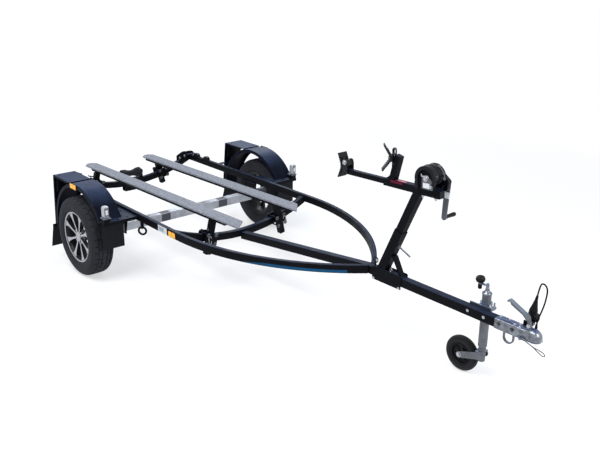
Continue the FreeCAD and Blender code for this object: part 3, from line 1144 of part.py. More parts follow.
def breakaway_hook():
    """Long wire loop on the breakaway cable's end."""
    end = BREAKAWAY_ROUTE[-1]
    along = (end - BREAKAWAY_ROUTE[-2]).normalize()
    across = V(-along.z, 0, along.x).normalize()
    wire, half, straight = 2.0, 9.0, 44.0
    near, far = end + along * (8 + half), end + along * (8 + half + straight)
    normal = along.cross(across)

    def stadium(radius, depth):
        lift = normal * depth
        sides = [near + across * radius, near - across * radius, far - across * radius, far + across * radius]
        return joined(rod(near - lift, near + lift, radius), rod(far - lift, far + lift, radius),
                      prism([point - lift for point in sides], lift * 2))

    return joined(stadium(half + wire, wire).cut(stadium(half - wire, wire + 1)),
                  rod(end, near - along * (half - 1), BREAKAWAY_RADIUS + 1.5))


def make_coupling():
    chassis("coupling_body", coupling_body())
    chassis("coupling_handle", coupling_handle())
    chassis("safety_ring", safety_ring())
    chassis("plug_holder", plug_holder())
    chassis("plug", plug())
    chassis("plug_cable", plug_cable())
    chassis("breakaway_cable", breakaway_cable())
    chassis("breakaway_hook", breakaway_hook())


# ==== out ======================================================================================================
CORD_NODES = ("plug_cable", "plug", "breakaway_cable", "breakaway_hook")


def centre_shift():
    """How far back the trailer moves so that its box is centred on the origin."""
    rigid = [solids for name, solids in PARTS.items() if name not in CORD_NODES]
    boxes = [Part.makeCompound(solids).optimalBoundingBox() for solids in rigid]
    return -(min(b.XMin for b in boxes) + max(b.XMax for b in boxes)) / 2


def write():
    shift = V(centre_shift(), 0, 0)
    print(f"shift {shift.x:.4f}")
    os.makedirs(OUT_DIR, exist_ok=True)
    for name, solids in PARTS.items():
        shape = solids[0].copy() if len(solids) == 1 else Part.makeCompound([solid.copy() for solid in solids])
        shape.translate(shift)
        shape.exportStep(os.path.join(OUT_DIR, name + ".step"))
        box_of = shape.BoundBox
        print(f"{name}: {len(solids)} solids, valid {shape.isValid()}, volume {shape.Volume / 1e6:.3f} l, "
              f"x {box_of.XMin:.0f}..{box_of.XMax:.0f} z {box_of.ZMin:.0f}..{box_of.ZMax:.0f}")


def main():
    make_frame()
    make_running_gear()
    make_mudguards()
    make_bunks()
    make_mast()
    make_jockey()
    make_coupling()
    write()


main()
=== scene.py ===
"""Looks of a single-axle watercraft trailer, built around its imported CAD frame."""

import json
import logging
import math
from dataclasses import dataclass
from enum import Enum
from typing import Iterable, Optional, Sequence

import bmesh
import bpy
from mathutils import Matrix, Vector

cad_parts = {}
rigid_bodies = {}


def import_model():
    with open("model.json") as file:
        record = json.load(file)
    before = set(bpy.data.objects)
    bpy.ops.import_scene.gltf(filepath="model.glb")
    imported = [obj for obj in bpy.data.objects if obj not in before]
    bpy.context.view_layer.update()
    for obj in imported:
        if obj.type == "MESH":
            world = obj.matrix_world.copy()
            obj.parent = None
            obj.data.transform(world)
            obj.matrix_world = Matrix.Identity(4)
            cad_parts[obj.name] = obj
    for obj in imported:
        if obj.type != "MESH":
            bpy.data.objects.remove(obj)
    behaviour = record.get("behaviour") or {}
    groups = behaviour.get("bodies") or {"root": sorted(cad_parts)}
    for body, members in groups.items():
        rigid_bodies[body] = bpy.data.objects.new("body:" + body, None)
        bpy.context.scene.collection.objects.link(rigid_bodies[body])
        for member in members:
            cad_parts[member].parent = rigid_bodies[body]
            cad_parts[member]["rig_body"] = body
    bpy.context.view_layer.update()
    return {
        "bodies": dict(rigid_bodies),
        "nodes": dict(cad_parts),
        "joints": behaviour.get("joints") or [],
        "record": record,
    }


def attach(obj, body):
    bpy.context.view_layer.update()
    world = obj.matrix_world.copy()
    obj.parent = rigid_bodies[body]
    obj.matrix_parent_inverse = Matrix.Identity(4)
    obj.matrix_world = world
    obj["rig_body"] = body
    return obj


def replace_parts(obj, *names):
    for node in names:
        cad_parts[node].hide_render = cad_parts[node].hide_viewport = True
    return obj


LOG = logging.getLogger("trailer")

Point = Sequence[float]
Pairs = list[tuple[float, float]]
Colour = tuple[float, float, float]
Shape = bmesh.types.BMesh
Socket = bpy.types.NodeSocket

FORE, REAR, LEFT, RIGHT, UP, DOWN = (1, 0, 0), (-1, 0, 0), (0, 1, 0), (0, -1, 0), (0, 0, 1), (0, 0, -1)
ORIGIN = (0, 0, 0)


def about(place: Point, degrees: float, axis: str = "Y") -> Matrix:
    """A turn about an axis through a place."""
    there = Matrix.Translation(place)
    return there @ Matrix.Rotation(math.radians(degrees), 4, axis) @ there.inverted()


# Pieces are drawn in millimetres on a level chassis. These places take them to the row frame: LEVEL as drawn, CHASSIS
# parked nose-down about the wheels, HEAD with the head beam's tilt as well, and MAST along the leaning mast.
WHEEL_Z = 280.0
MAST_FOOT, MAST_LEAN = (2062.0, 0.0, 490.0), 23.1
LEVEL = Matrix.Translation((-1.0447844, 0.0, 0.0)) @ Matrix.Scale(0.001, 4)
CHASSIS = LEVEL @ about((0.0, 0.0, WHEEL_Z), 1.26)
HEAD = CHASSIS @ about((2276.5493, 0.0, 993.0), -2.0)
MAST = CHASSIS @ about(MAST_FOOT, MAST_LEAN)
MIRROR_Y, MIRROR_Z = Matrix.Diagonal((1, -1, 1, 1)), Matrix.Diagonal((1, 1, -1, 1))


class Side(Enum):
    """The two sides of the trailer, by the sign of Y."""

    LEFT = 1
    RIGHT = -1

    @property
    def word(self) -> str:
        """The side's name in piece names."""
        return self.name.lower()

    @property
    def place(self) -> Matrix:
        """From pieces drawn for the left side to this side of the chassis."""
        return CHASSIS @ Matrix.Diagonal((1, self.value, 1, 1))


# ---- finishes ----
NOISE_RANGE = (0.3, 0.7)  # soft noise hardly leaves it


class Nodes:
    """A small writer of shader nodes for one material or world."""

    def __init__(self, owner: bpy.types.Material | bpy.types.World) -> None:
        """Starts an empty tree.

        Args:
            owner: What the nodes are for.
        """
        owner.use_nodes = True
        self.tree = owner.node_tree
        self.tree.nodes.clear()

    def add(self, kind: str, **values: object) -> bpy.types.Node:
        """Adds a node.

        Args:
            kind: The node type after "ShaderNode".
            values: The node's attributes, and its inputs by identifier: a socket is linked, anything else is set.

        Returns:
            The new node.
        """
        node = self.tree.nodes.new("ShaderNode" + kind)
        inputs = {item.identifier.replace(" ", "_"): item for item in node.inputs}
        for key, value in values.items():
            if key not in inputs:
                setattr(node, key, value)
            elif isinstance(value, Socket):
                self.tree.links.new(value, inputs[key])
            else:
                inputs[key].default_value = (*value, 1.0) if inputs[key].type == "RGBA" else value
        return node

    def math(self, operation: str, *values: float | Socket) -> Socket:
        """The result of a math node on up to three values."""
        keys = ("Value", "Value_001", "Value_002")
        return self.add("Math", operation=operation, **dict(zip(keys, values))).outputs[0]

    def coords(self) -> Socket:
        """The piece's own coordinates."""
        return self.add("TexCoord").outputs["Object"]

    def noise(self, scale: float, detail: float) -> Socket:
        """Soft noise on the piece's own coordinates."""
        return self.add("TexNoise", Vector=self.coords(), Scale=scale, Detail=detail).outputs["Fac"]

    def ramp(self, value: Socket, low: float, high: float, start: float = 0.0, end: float = 1.0) -> Socket:
        """Maps a value from the range of start and end to the one of low and high."""
        return self.add("MapRange", Value=value, From_Min=start, From_Max=end, To_Min=low, To_Max=high).outputs[0]

    def blend(self, factor: Socket, first: Colour | Socket, second: Colour | Socket) -> Socket:
        """A colour between two, by a factor."""
        mix = self.add("Mix", data_type="RGBA", Factor_Float=factor, A_Color=first, B_Color=second)
        return next(item for item in mix.outputs if item.identifier == "Result_Color")

    def upward(self) -> Socket:
        """Where the painted sky reflection goes: 0 on walls and undersides, rising to 1 on faces that look up."""
        split = self.add("SeparateXYZ", Vector=self.add("TexCoord").outputs["Normal"])
        return self.ramp(split.outputs["Z"], 0.0, 1.0, 0.72, 1.0)

    def seen(self) -> Socket:
        """Tells the rays that see the backdrop.

        Returns:
            1 for rays from the camera, in reflections and through glass.
        """
        rays = self.add("LightPath").outputs
        shiny = self.math("MAXIMUM", rays["Is Camera Ray"], rays["Is Glossy Ray"])
        return self.math("MAXIMUM", shiny, rays["Is Transmission Ray"])

    def mix(self, factor: Socket, first: bpy.types.Node, second: bpy.types.Node, output: str) -> None:
        """Ends the tree in a mixture of two shaders, for an output of that kind."""
        mixed = self.add("MixShader", Fac=factor, Shader=first.outputs[0], Shader_001=second.outputs[0])
        self.add(output, Surface=mixed.outputs[0])

    def finish(self, **values: object) -> None:
        """Ends the tree in a principled shader with these inputs."""
        self.add("OutputMaterial", Surface=self.add("BsdfPrincipled", **values).outputs["BSDF"])


def shade(colour: Colour, factor: float) -> Colour:
    """A colour made lighter or darker."""
    return tuple(min(1.0, channel * factor) for channel in colour)


@dataclass(frozen=True)
class Finish:
    """A finish of one material: its colour with mottling and, where it has a top colour, a painted sky reflection on
    faces that look up, and its gloss with a fine surface.
    """

    name: str
    colour: Colour
    roughness: float = 0.4
    metallic: float = 0.0
    coat: float = 0.0
    sheen: float = 0.0
    transmission: float = 0.0
    specular: float = 0.5
    mottle: float = 0.15
    mottle_scale: float = 14.0
    grain: float = 0.1
    grain_scale: float = 900.0
    grain_depth: float = 0.0003
    gloss_change: float = 0.08
    # top: a painted reflection of the bluish sky, blended in on faces that look up.
    top: Optional[Colour] = None

    def material(self) -> bpy.types.Material:
        """Makes the material once and then shares it.

        Returns:
            The material.
        """
        known = bpy.data.materials.get(self.name)
        if not known:
            known = bpy.data.materials.new(self.name)
            self.write(Nodes(known))
        return known

    def tint(self, nodes: Nodes, factor: Socket) -> Socket:
        """Mottles the colour, with a painted reflection of the sky on faces that look up.

        Args:
            nodes: The material's nodes.
            factor: From the darker shade to the lighter one.

        Returns:
            The colour.
        """
        # side is the mottled colour, and top is the painted sky reflection that covers it on faces that look up.
        side, *top = [nodes.blend(factor, shade(base, 1 - self.mottle), shade(base, 1 + self.mottle))
                      for base in (self.colour, self.top) if base]
        return nodes.blend(nodes.upward(), side, *top) if top else side

    def gloss(self, nodes: Nodes, factor: Socket) -> Socket:
        """The roughness, between a little less and a little more."""
        return nodes.ramp(factor, max(0.02, self.roughness - self.gloss_change),
                          min(1.0, self.roughness + self.gloss_change), *NOISE_RANGE)

    def surface(self, nodes: Nodes, height: Socket, **under: Socket) -> Socket:
        """The grain as a normal, over another normal if one is given."""
        return nodes.add("Bump", Height=height, Strength=self.grain, Distance=self.grain_depth, **under).outputs[0]

    def write(self, nodes: Nodes) -> None:
        """Writes the material.

        Args:
            nodes: The material's nodes.
        """
        patches = nodes.noise(self.mottle_scale, 4.0)
        nodes.finish(Base_Color=self.tint(nodes, nodes.ramp(patches, 0.0, 1.0, *NOISE_RANGE)),
                     Roughness=self.gloss(nodes, patches), Metallic=self.metallic, Coat_Weight=self.coat,
                     Normal=self.surface(nodes, nodes.noise(self.grain_scale, 2.0)), Coat_Roughness=0.08,
                     Sheen_Weight=self.sheen, Transmission_Weight=self.transmission,
                     Specular_IOR_Level=self.specular)


class Galvanised(Finish):
    """Hot-dip zinc with its crystal spangle and dull patches."""

    def write(self, nodes: Nodes) -> None:
        """Writes the material.

        Args:
            nodes: The material's nodes.
        """
        crystals = nodes.add("TexVoronoi", Vector=nodes.coords(), Scale=self.mottle_scale * 9)
        spangle = nodes.add("SeparateColor", Color=crystals.outputs["Color"])
        patches = nodes.ramp(nodes.noise(self.mottle_scale, 5.0), 0.0, 0.65, *NOISE_RANGE)
        zinc = nodes.math("MULTIPLY_ADD", spangle.outputs[0], 0.35, patches)
        nodes.finish(Base_Color=self.tint(nodes, zinc), Metallic=self.metallic,
                     Roughness=nodes.ramp(zinc, self.roughness + self.gloss_change,
                                          self.roughness - self.gloss_change),
                     Normal=self.surface(nodes, nodes.noise(self.grain_scale, 3.0)))


class Carpet(Finish):
    """Looped boat carpet: fibres in two greys, with a soft pile."""

    def write(self, nodes: Nodes) -> None:
        """Writes the material.

        Args:
            nodes: The material's nodes.
        """
        fibre, tufts = nodes.noise(self.grain_scale, 4.0), nodes.noise(self.grain_scale * 0.28, 3.0)
        speck = nodes.math("ADD", nodes.ramp(fibre, 0.0, 0.6, 0.35, 0.65), nodes.ramp(tufts, 0.0, 0.4, 0.35, 0.65))
        pile = nodes.add("Bump", Height=tufts, Strength=0.8, Distance=self.grain_depth * 3)
        nodes.finish(Base_Color=self.tint(nodes, speck), Roughness=self.roughness, Sheen_Weight=self.sheen,
                     Specular_IOR_Level=self.specular,
                     Normal=self.surface(nodes, fibre, Normal=pile.outputs["Normal"]))


class Brushed(Finish):
    """Turned or brushed metal with fine lines."""

    def write(self, nodes: Nodes) -> None:
        """Writes the material.

        Args:
            nodes: The material's nodes.
        """
        lines = nodes.noise(self.grain_scale, 2.0)
        nodes.finish(Base_Color=self.tint(nodes, lines), Roughness=self.gloss(nodes, lines),
                     Metallic=self.metallic, Normal=self.surface(nodes, lines))


class Prismatic(Finish):
    """Reflector plastic with rows of small prisms behind a smooth face."""

    def write(self, nodes: Nodes) -> None:
        """Writes the material.

        Args:
            nodes: The material's nodes.
        """
        prisms = nodes.add("TexVoronoi", feature="F1", distance="CHEBYCHEV", Vector=nodes.coords(),
                           Scale=self.grain_scale, Randomness=0.0).outputs["Distance"]
        nodes.finish(Base_Color=nodes.blend(nodes.ramp(prisms, 0.0, 1.0, 0.1, 0.6),
                                            shade(self.colour, 1 + self.mottle), shade(self.colour, 1 - self.mottle)),
                     Roughness=self.roughness, Coat_Weight=self.coat, Coat_Roughness=0.05,
                     Transmission_Weight=self.transmission, Normal=self.surface(nodes, prisms))


# The top colours of the frame and guard paints are painted reflections of the bluish sky on faces that look up.
FRAME_PAINT = Finish("frame_paint", (0.0032, 0.0034, 0.005), 0.5, specular=0.05, mottle=0.3, grain_scale=420.0,
                     top=(0.0085, 0.0135, 0.031))
GUARD_PAINT = Finish("guard_paint", (0.0036, 0.0052, 0.012), 0.42, specular=0.04, mottle=0.25, grain=0.05,
                     grain_scale=260.0, gloss_change=0.05, top=(0.017, 0.028, 0.064))
FLAP_RUBBER = Finish("flap_rubber", (0.005, 0.0055, 0.0075), 0.55, specular=0.1, mottle=0.25, grain=0.3,
                     grain_scale=600.0)
# The top colours of these three zinc finishes are painted bluish sky reflections on faces that look up.
PRESSED_ZINC = Galvanised("pressed_zinc", (0.145, 0.155, 0.178), 0.24, 0.55, mottle=0.7, mottle_scale=42.0, grain=0.6,
                          grain_scale=150.0, grain_depth=0.0014, gloss_change=0.12, top=(0.05, 0.085, 0.19))
BRIGHT_ZINC = Galvanised("bright_zinc", (0.15, 0.165, 0.195), 0.24, 0.8, mottle=0.3, mottle_scale=22.0, grain=0.15,
                         grain_scale=500.0, gloss_change=0.1, top=(0.2, 0.27, 0.4))
GALVANISED = Galvanised("galvanised", (0.105, 0.112, 0.124), 0.4, 0.45, mottle=0.22, mottle_scale=16.0, grain=0.15,
                        grain_scale=700.0, gloss_change=0.12, top=(0.15, 0.19, 0.255))
AXLE_ZINC = Galvanised("axle_galvanised", (0.3, 0.31, 0.345), 0.5, 0.6, mottle=0.25, mottle_scale=9.0, grain=0.15,
                       grain_scale=700.0, gloss_change=0.12)
BAND_GREY = Finish("axle_band_grey", (0.052, 0.054, 0.066), 0.5, specular=0.2)
LENS_GREY = Prismatic("lens_window", (0.085, 0.088, 0.1), 0.2, coat=0.3, mottle=0.3, grain=0.3, grain_scale=300.0,
                      grain_depth=0.001)
ZINC = Finish("zinc_plate", (0.42, 0.43, 0.46), 0.3, 0.9, mottle=0.12, mottle_scale=60.0)
MACHINED = Brushed("machined_aluminium", (0.4, 0.4, 0.43), 0.34, 0.8, mottle=0.1, grain=0.12, grain_scale=500.0,
                   gloss_change=0.06)
RIM_DARK = Finish("rim_dark_lacquer", (0.01, 0.0105, 0.013), 0.42, 0.1, specular=0.15)
TYRE_RUBBER = Finish("tyre_rubber", (0.0175, 0.019, 0.024), 0.8, specular=0.1, mottle=0.25, mottle_scale=9.0,
                     grain=0.3, grain_scale=700.0, sheen=0.02)
RUBBER = Finish("moulded_rubber", (0.0075, 0.0075, 0.009), 0.62, specular=0.1, mottle=0.25, grain=0.3,
                grain_scale=600.0, sheen=0.1)
PLASTIC = Finish("black_plastic", (0.0045, 0.0045, 0.0055), 0.4, specular=0.12, mottle=0.12, grain=0.22,
                 grain_scale=1100.0)
WINCH_BLACK = Finish("winch_black", (0.006, 0.0065, 0.0085), 0.4, specular=0.12, grain=0.2, grain_scale=700.0)
DARK_STEEL = Finish("dark_steel", (0.06, 0.062, 0.068), 0.4, 0.8, mottle=0.2)
GREY_PAINT = Finish("winch_grey_paint", (0.092, 0.096, 0.106), 0.42, 0.3, specular=0.2, grain=0.12)
CARPET = Carpet("bunk_carpet", (0.178, 0.189, 0.222), 0.95, sheen=0.12, mottle=0.75, grain=0.9, grain_scale=420.0,
                grain_depth=0.0014, specular=0.15)
AMBER = Prismatic("amber_lens", (1.0, 0.42, 0.01), 0.25, coat=0.15, mottle=0.2, grain=0.3, grain_scale=260.0,
                  grain_depth=0.001)
RED_LENS = Prismatic("red_lens", (0.55, 0.012, 0.012), 0.12, coat=0.8, mottle=0.35, grain=0.3, grain_scale=240.0,
                     grain_depth=0.001, transmission=0.2)
LENS_PALE = Prismatic("lens_shell", (0.34, 0.35, 0.38), 0.22, coat=0.3, mottle=0.25, grain=0.3, grain_scale=300.0,
                      grain_depth=0.001)
CLEAR_LENS = Prismatic("clear_lens", (0.86, 0.87, 0.88), 0.1, coat=0.8, mottle=0.12, grain=0.3, grain_scale=240.0,
                       grain_depth=0.001, transmission=0.45)
PLATE_GREY = Finish("plate_print_grey", (0.3, 0.35, 0.375), 0.34, 0.2, mottle=0.08, grain=0.06)
LABEL = Finish("label_foil", (0.6, 0.61, 0.64), 0.4, 0.1, specular=0.3, mottle=0.06, grain=0.06)
GREY_STEEL = Finish("grey_steel", (0.06, 0.062, 0.068), 0.4, 0.3, specular=0.3, mottle=0.3, grain=0.2)
STRIPE_BLUE = Finish("stripe_blue", (0.003, 0.048, 0.115), 0.45, specular=0.1, mottle=0.25, mottle_scale=5.0)
BAND_PINK = Finish("beam_band", (0.085, 0.005, 0.022), 0.4, specular=0.1)
BAND_PALE = Finish("beam_band_pale", (0.55, 0.2, 0.27), 0.4, specular=0.2, mottle=0.1)
SHEATH = Finish("cable_sheath", (0.004, 0.004, 0.005), 0.45, specular=0.1, grain=0.15, grain_scale=500.0)
STEEL_ROPE = Brushed("steel_rope", (0.09, 0.09, 0.095), 0.4, 0.75, mottle=0.3, grain=0.6, grain_depth=0.0006)


# ---- outlines ----
def pairs(*numbers: float) -> Pairs:
    """The points of an outline, from their numbers in turn."""
    return list(zip(numbers[::2], numbers[1::2]))


def mirrored(half: Pairs, *middle: tuple[float, float]) -> Pairs:
    """Half an outline of (radius, along) points, points on its middle, and the other half."""
    return half + list(middle) + [(radius, -along) for radius, along in reversed(half)]


def spread(start: float, end: float, steps: int) -> list[float]:
    """Evenly spaced numbers from start to end."""
    return [start + (end - start) * step / steps for step in range(steps + 1)]


def arc(centre: tuple[float, float], radius: float, start: float, end: float, steps: int) -> Pairs:
    """Points on an arc between two angles in degrees."""
    return [(centre[0] + radius * math.cos(turn), centre[1] + radius * math.sin(turn))
            for turn in spread(math.radians(start), math.radians(end), steps)]


def rounded_box(width: float, height: float, radius: float) -> Pairs:
    """The outline of a tube's section, middle at (0, 0), with rounded corners."""
    return [point for corner, (u, v) in enumerate(((1, 1), (-1, 1), (-1, -1), (1, -1)))
            for point in arc((u * (width / 2 - radius), v * (height / 2 - radius)), radius, 90 * corner,
                             90 * corner + 90, 3)]


def belt(big: Point, small: Point, steps: int) -> Pairs:
    """The outline of a flat band round two discs.

    Args:
        big: The first disc as (x, z, radius).
        small: The last disc, which isn't larger.
        steps: Points round each disc.

    Returns:
        The outline.
    """
    (x0, z0, r0), (x1, z1, r1) = big, small
    away = math.degrees(math.atan2(z1 - z0, x1 - x0))
    lean = math.degrees(math.acos((r0 - r1) / math.hypot(x1 - x0, z1 - z0)))
    return (arc((x0, z0), r0, away + lean, away + 360 - lean, steps)
            + arc((x1, z1), r1, away - lean, away + lean, steps))


# ---- shapes ----
def rounded(shape: Shape, bevel: float, segments: int = 2, sharper: float = 35.0) -> Shape:
    """Rounds the sharp edges of a shape.

    Args:
        shape: The mesh to change.
        bevel: Width of the rounding, or 0 for none.
        segments: Faces across the rounding.
        sharper: Only edges that turn by more than these degrees.

    Returns:
        The same mesh.
    """
    if bevel > 0:
        edges = [edge for edge in shape.edges
                 if len(edge.link_faces) == 2 and edge.calc_face_angle() > math.radians(sharper)]
        bmesh.ops.bevel(shape, geom=edges, offset=bevel, offset_type="OFFSET", affect="EDGES", segments=segments,
                        profile=0.5, material=-1, clamp_overlap=True)
    return shape


def moved(shape: Shape, matrix: Matrix) -> Shape:
    """Puts a shape somewhere else, with its faces kept outwards.

    Args:
        shape: The mesh to change.
        matrix: The transform.

    Returns:
        The same mesh.
    """
    bmesh.ops.transform(shape, matrix=matrix, verts=shape.verts)
    if matrix.determinant() < 0:
        bmesh.ops.reverse_faces(shape, faces=shape.faces)
    return shape


def facing(centre: Point, axis: Point) -> Matrix:
    """From a shape drawn along Z to its place along an axis."""
    return Matrix.Translation(centre) @ Vector(axis).to_track_quat("Z", "Y").to_matrix().to_4x4()


def joined(*shapes: Shape) -> Shape:
    """Puts several shapes in one mesh.

    Args:
        shapes: The meshes, which are used up.

    Returns:
        The first mesh with the rest in it.
    """
    for other in shapes[1:]:
        carrier = bpy.data.meshes.new("carrier")
        other.to_mesh(carrier)
        shapes[0].from_mesh(carrier)
        other.free()
        bpy.data.meshes.remove(carrier)
    return shapes[0]


def both(*shapes: Shape) -> Shape:
    """Shapes of the left side with their mirror images, as one mesh."""
    whole = joined(*shapes)
    return joined(whole, moved(whole.copy(), MIRROR_Y))


def painted(shape: Shape, index: int) -> Shape:
    """Gives a shape one finish of its piece.

    Args:
        shape: The mesh to change.
        index: The finish's place in the piece's list.

    Returns:
        The same mesh.
    """
    for face in shape.faces:
        face.material_index = index
    return shape


def block(low: Point, high: Point, bevel: float = 0.0, segments: int = 2) -> Shape:
    """A box with rounded edges.

    Args:
        low: Lowest corner.
        high: Highest corner.
        bevel: Width of the rounding.
        segments: Faces across the rounding.

    Returns:
        The new mesh.
    """
    shape = bmesh.new()
    bmesh.ops.create_cube(shape, size=1.0)
    bmesh.ops.scale(shape, vec=Vector(high) - Vector(low), verts=shape.verts)
    bmesh.ops.translate(shape, vec=(Vector(low) + Vector(high)) / 2, verts=shape.verts)
    return rounded(shape, bevel, segments)


def rod(start: Point, end: Point, radius: float, bevel: float = 0.0, sides: int = 28) -> Shape:
    """A round or six-sided bar.

    Args:
        start: Middle of the first end.
        end: Middle of the last end.
        radius: Its radius, at the corners.
        bevel: Rounding of the rims.
        sides: Number of faces round it.

    Returns:
        The new mesh.
    """
    way = Vector(end) - Vector(start)
    shape = bmesh.new()
    bmesh.ops.create_cone(shape, cap_ends=True, segments=sides, radius1=radius, radius2=radius, depth=way.length)
    return moved(rounded(shape, bevel, 2, 50.0), facing(Vector(start) + way / 2, way))


def prism(outline: Iterable[Point], along: Point, bevel: float = 0.0, segments: int = 2) -> Shape:
    """A closed outline pushed along a vector.

    Args:
        outline: Corners of the outline, in order.
        along: How far and where to it is pushed.
        bevel: Rounding of every sharp edge.
        segments: Faces across the rounding.

    Returns:
        The new mesh.
    """
    shape = bmesh.new()
    face = shape.faces.new([shape.verts.new(corner) for corner in outline])
    pushed = bmesh.ops.extrude_face_region(shape, geom=[face])["geom"]
    bmesh.ops.translate(shape, vec=along, verts=[item for item in pushed if isinstance(item, bmesh.types.BMVert)])
    bmesh.ops.recalc_face_normals(shape, faces=shape.faces)
    return rounded(shape, bevel, segments)


def plate(outline: Pairs, low: float, depth: float, bevel: float, segments: int = 2,
          at: tuple[float, float] = (0, 0)) -> Shape:
    """An (x, z) outline drawn about at, as a plate from y = low that is depth thick."""
    return prism([(at[0] + x, low, at[1] + z) for x, z in outline], (0, depth, 0), bevel, segments)


def band(centre: tuple[float, float], low: float, high: float, inner: float, outer: float, start: float,
         end: float, steps: int, bevel: float) -> Shape:
    """A curved band about a cross axis, from y = low to high, between two radii and two angles in degrees."""
    return plate(arc(centre, outer, start, end, steps) + arc(centre, inner, end, start, steps), low, high - low,
                 bevel)


def lathe(profile: Pairs, centre: Point, axis: Point, steps: int = 48) -> Shape:
    """A closed outline turned about an axis.

    Args:
        profile: The outline as (radius, along).
        centre: Point on the axis where along is 0.
        axis: Direction of the axis.
        steps: Number of faces round it.

    Returns:
        The new mesh.
    """
    shape = bmesh.new()
    verts = [shape.verts.new((radius, 0.0, height)) for radius, height in profile]
    edges = [shape.edges.new(ends) for ends in zip(verts, verts[1:] + verts[:1]) if ends[0].co.x or ends[1].co.x]
    bmesh.ops.spin(shape, geom=verts + edges, cent=ORIGIN, axis=UP, angle=math.tau, steps=steps, use_merge=True)
    bmesh.ops.remove_doubles(shape, verts=shape.verts, dist=1e-3)
    bmesh.ops.recalc_face_normals(shape, faces=shape.faces)
    return moved(shape, facing(centre, axis))


def ring(reach: float, thick: float, centre: Point, axis: Point, steps: int, sides: int = 8) -> Shape:
    """A ring of round wire, by the radii of the ring and of the wire."""
    return lathe(arc((reach, 0.0), thick, 0, 360, sides)[:-1], centre, axis, steps)


def skin(rings: Sequence[Sequence[Point]], closed: bool = True) -> Shape:
    """Bridges rings or rows of corners.

    Args:
        rings: The rings in order, each with the same number of corners.
        closed: Rings round a solid with two ends, and not rows of a sheet.

    Returns:
        The new mesh.
    """
    shape, loops = bmesh.new(), []
    for corners in rings:
        verts = [shape.verts.new(corner) for corner in corners]
        loops.append([shape.edges.new(ends) for ends in zip(verts, verts[1:] + verts[:closed])])
    for first, last in zip(loops, loops[1:]):
        bmesh.ops.bridge_loops(shape, edges=first + last)
    if closed:
        bmesh.ops.edgeloop_fill(shape, edges=loops[0] + loops[-1])
    bmesh.ops.recalc_face_normals(shape, faces=shape.faces)
    return shape


def sweep(section: Pairs, stations: Sequence[tuple[Point, Point, Point]]) -> Shape:
    """A (u, v) section carried through stations, each with its middle and the directions of u and v."""
    return skin([[Vector(place) + u * Vector(across) + v * Vector(up) for u, v in section]
                 for place, across, up in stations])


def hex_bolt(at: Point, out: Point, size: float = 8.0, washer: float = 0.0) -> Shape:
    """A bolt head with a washer under it.

    Args:
        at: Where it sits on its plate.
        out: Direction that it faces.
        size: Radius of the head.
        washer: Radius of the washer, or 0 for one that suits the head.

    Returns:
        The new mesh.
    """
    base, way = Vector(at), Vector(out).normalized()
    return joined(rod(base - way, base + way * 1.5, washer or size * 1.5, 0.4, 20),
                  rod(base + way, base + way * (size * 0.75), size, 0.7, 6))


def bolts(size: float, out: Point, *places: Point) -> Shape:
    """Bolt heads of one size that face one way."""
    return joined(*(hex_bolt(at, out, size) for at in places))


def twins(size: float, out: Point, *places: Point) -> Shape:
    """Bolt heads of the left side with their mirror images."""
    return both(bolts(size, out, *places))


# ---- pieces ----
FRAME: dict = {}


def linked(name: str, data: bpy.types.ID) -> bpy.types.Object:
    """Adds an object to the scene.

    Args:
        name: Its name.
        data: Its mesh, curve, lamp or camera.

    Returns:
        The new object.
    """
    thing = bpy.data.objects.new(name, data)
    bpy.context.scene.collection.objects.link(thing)
    return thing


def add_on(name: str, node: str, finishes: Finish | Sequence[Finish], place: Matrix, *shapes: Shape,
           smooth: float = 35.0) -> bpy.types.Object:
    """Makes a finished piece at the origin, which rides with a CAD node.

    Args:
        name: The piece's name.
        node: The CAD node, whose body it takes.
        finishes: One finish, or one for each material index.
        place: From the shapes to the row frame.
        shapes: Its meshes, which are used up.
        smooth: Edges that turn by more than these degrees stay sharp.

    Returns:
        The new object.
    """
    mesh = bpy.data.meshes.new(name)
    shape = moved(joined(*shapes), place)
    shape.to_mesh(mesh)
    shape.free()
    for finish in ([finishes] if isinstance(finishes, Finish) else finishes):
        mesh.materials.append(finish.material())
    mesh.polygons.foreach_set("use_smooth", [True] * len(mesh.polygons))
    mesh.set_sharp_from_angle(angle=math.radians(smooth))
    piece = linked(name, mesh)
    piece.modifiers.new("flat_faces_first", "WEIGHTED_NORMAL").keep_sharp = True
    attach(piece, FRAME["nodes"][node]["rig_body"])
    LOG.info("%s rides with %s, %d faces", name, node, len(mesh.polygons))
    return piece


def stand_in(name: str, node: str, finishes: Finish | Sequence[Finish], place: Matrix, *shapes: Shape,
             smooth: float = 35.0) -> bpy.types.Object:
    """Makes a piece like add_on, which stands for the CAD node."""
    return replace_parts(add_on(name, node, finishes, place, *shapes, smooth=smooth), node)


def soften(node: str, finish: Finish, bevel: float, segments: int = 2, tidy: float = 1.0) -> None:
    """Makes a piece of a CAD node with its folded or drawn edges rounded.

    Args:
        node: The CAD node, which the piece stands for.
        finish: Its finish.
        bevel: Width of the rounding in millimetres.
        segments: Faces across the rounding.
        tidy: Faces that turn by less than these degrees become one.
    """
    shape = bmesh.new()
    shape.from_mesh(FRAME["nodes"][node].data)
    bmesh.ops.remove_doubles(shape, verts=shape.verts, dist=2e-5)
    bmesh.ops.dissolve_limit(shape, angle_limit=math.radians(tidy), verts=shape.verts, edges=shape.edges)
    rounded(shape, bevel / 1000, segments, 30.0)
    stand_in(node + "_finished", node, finish, Matrix(), shape, smooth=25.0)


def dress(finish: Finish, *nodes: str) -> None:
    """Gives a finish to CAD nodes whose shape stays as it is.

    Args:
        finish: The finish.
        nodes: The CAD nodes.
    """
    for node in nodes:
        slots = FRAME["nodes"][node].material_slots
        for slot in slots:
            slot.material = finish.material()
        if not slots:
            FRAME["nodes"][node].data.materials.append(finish.material())


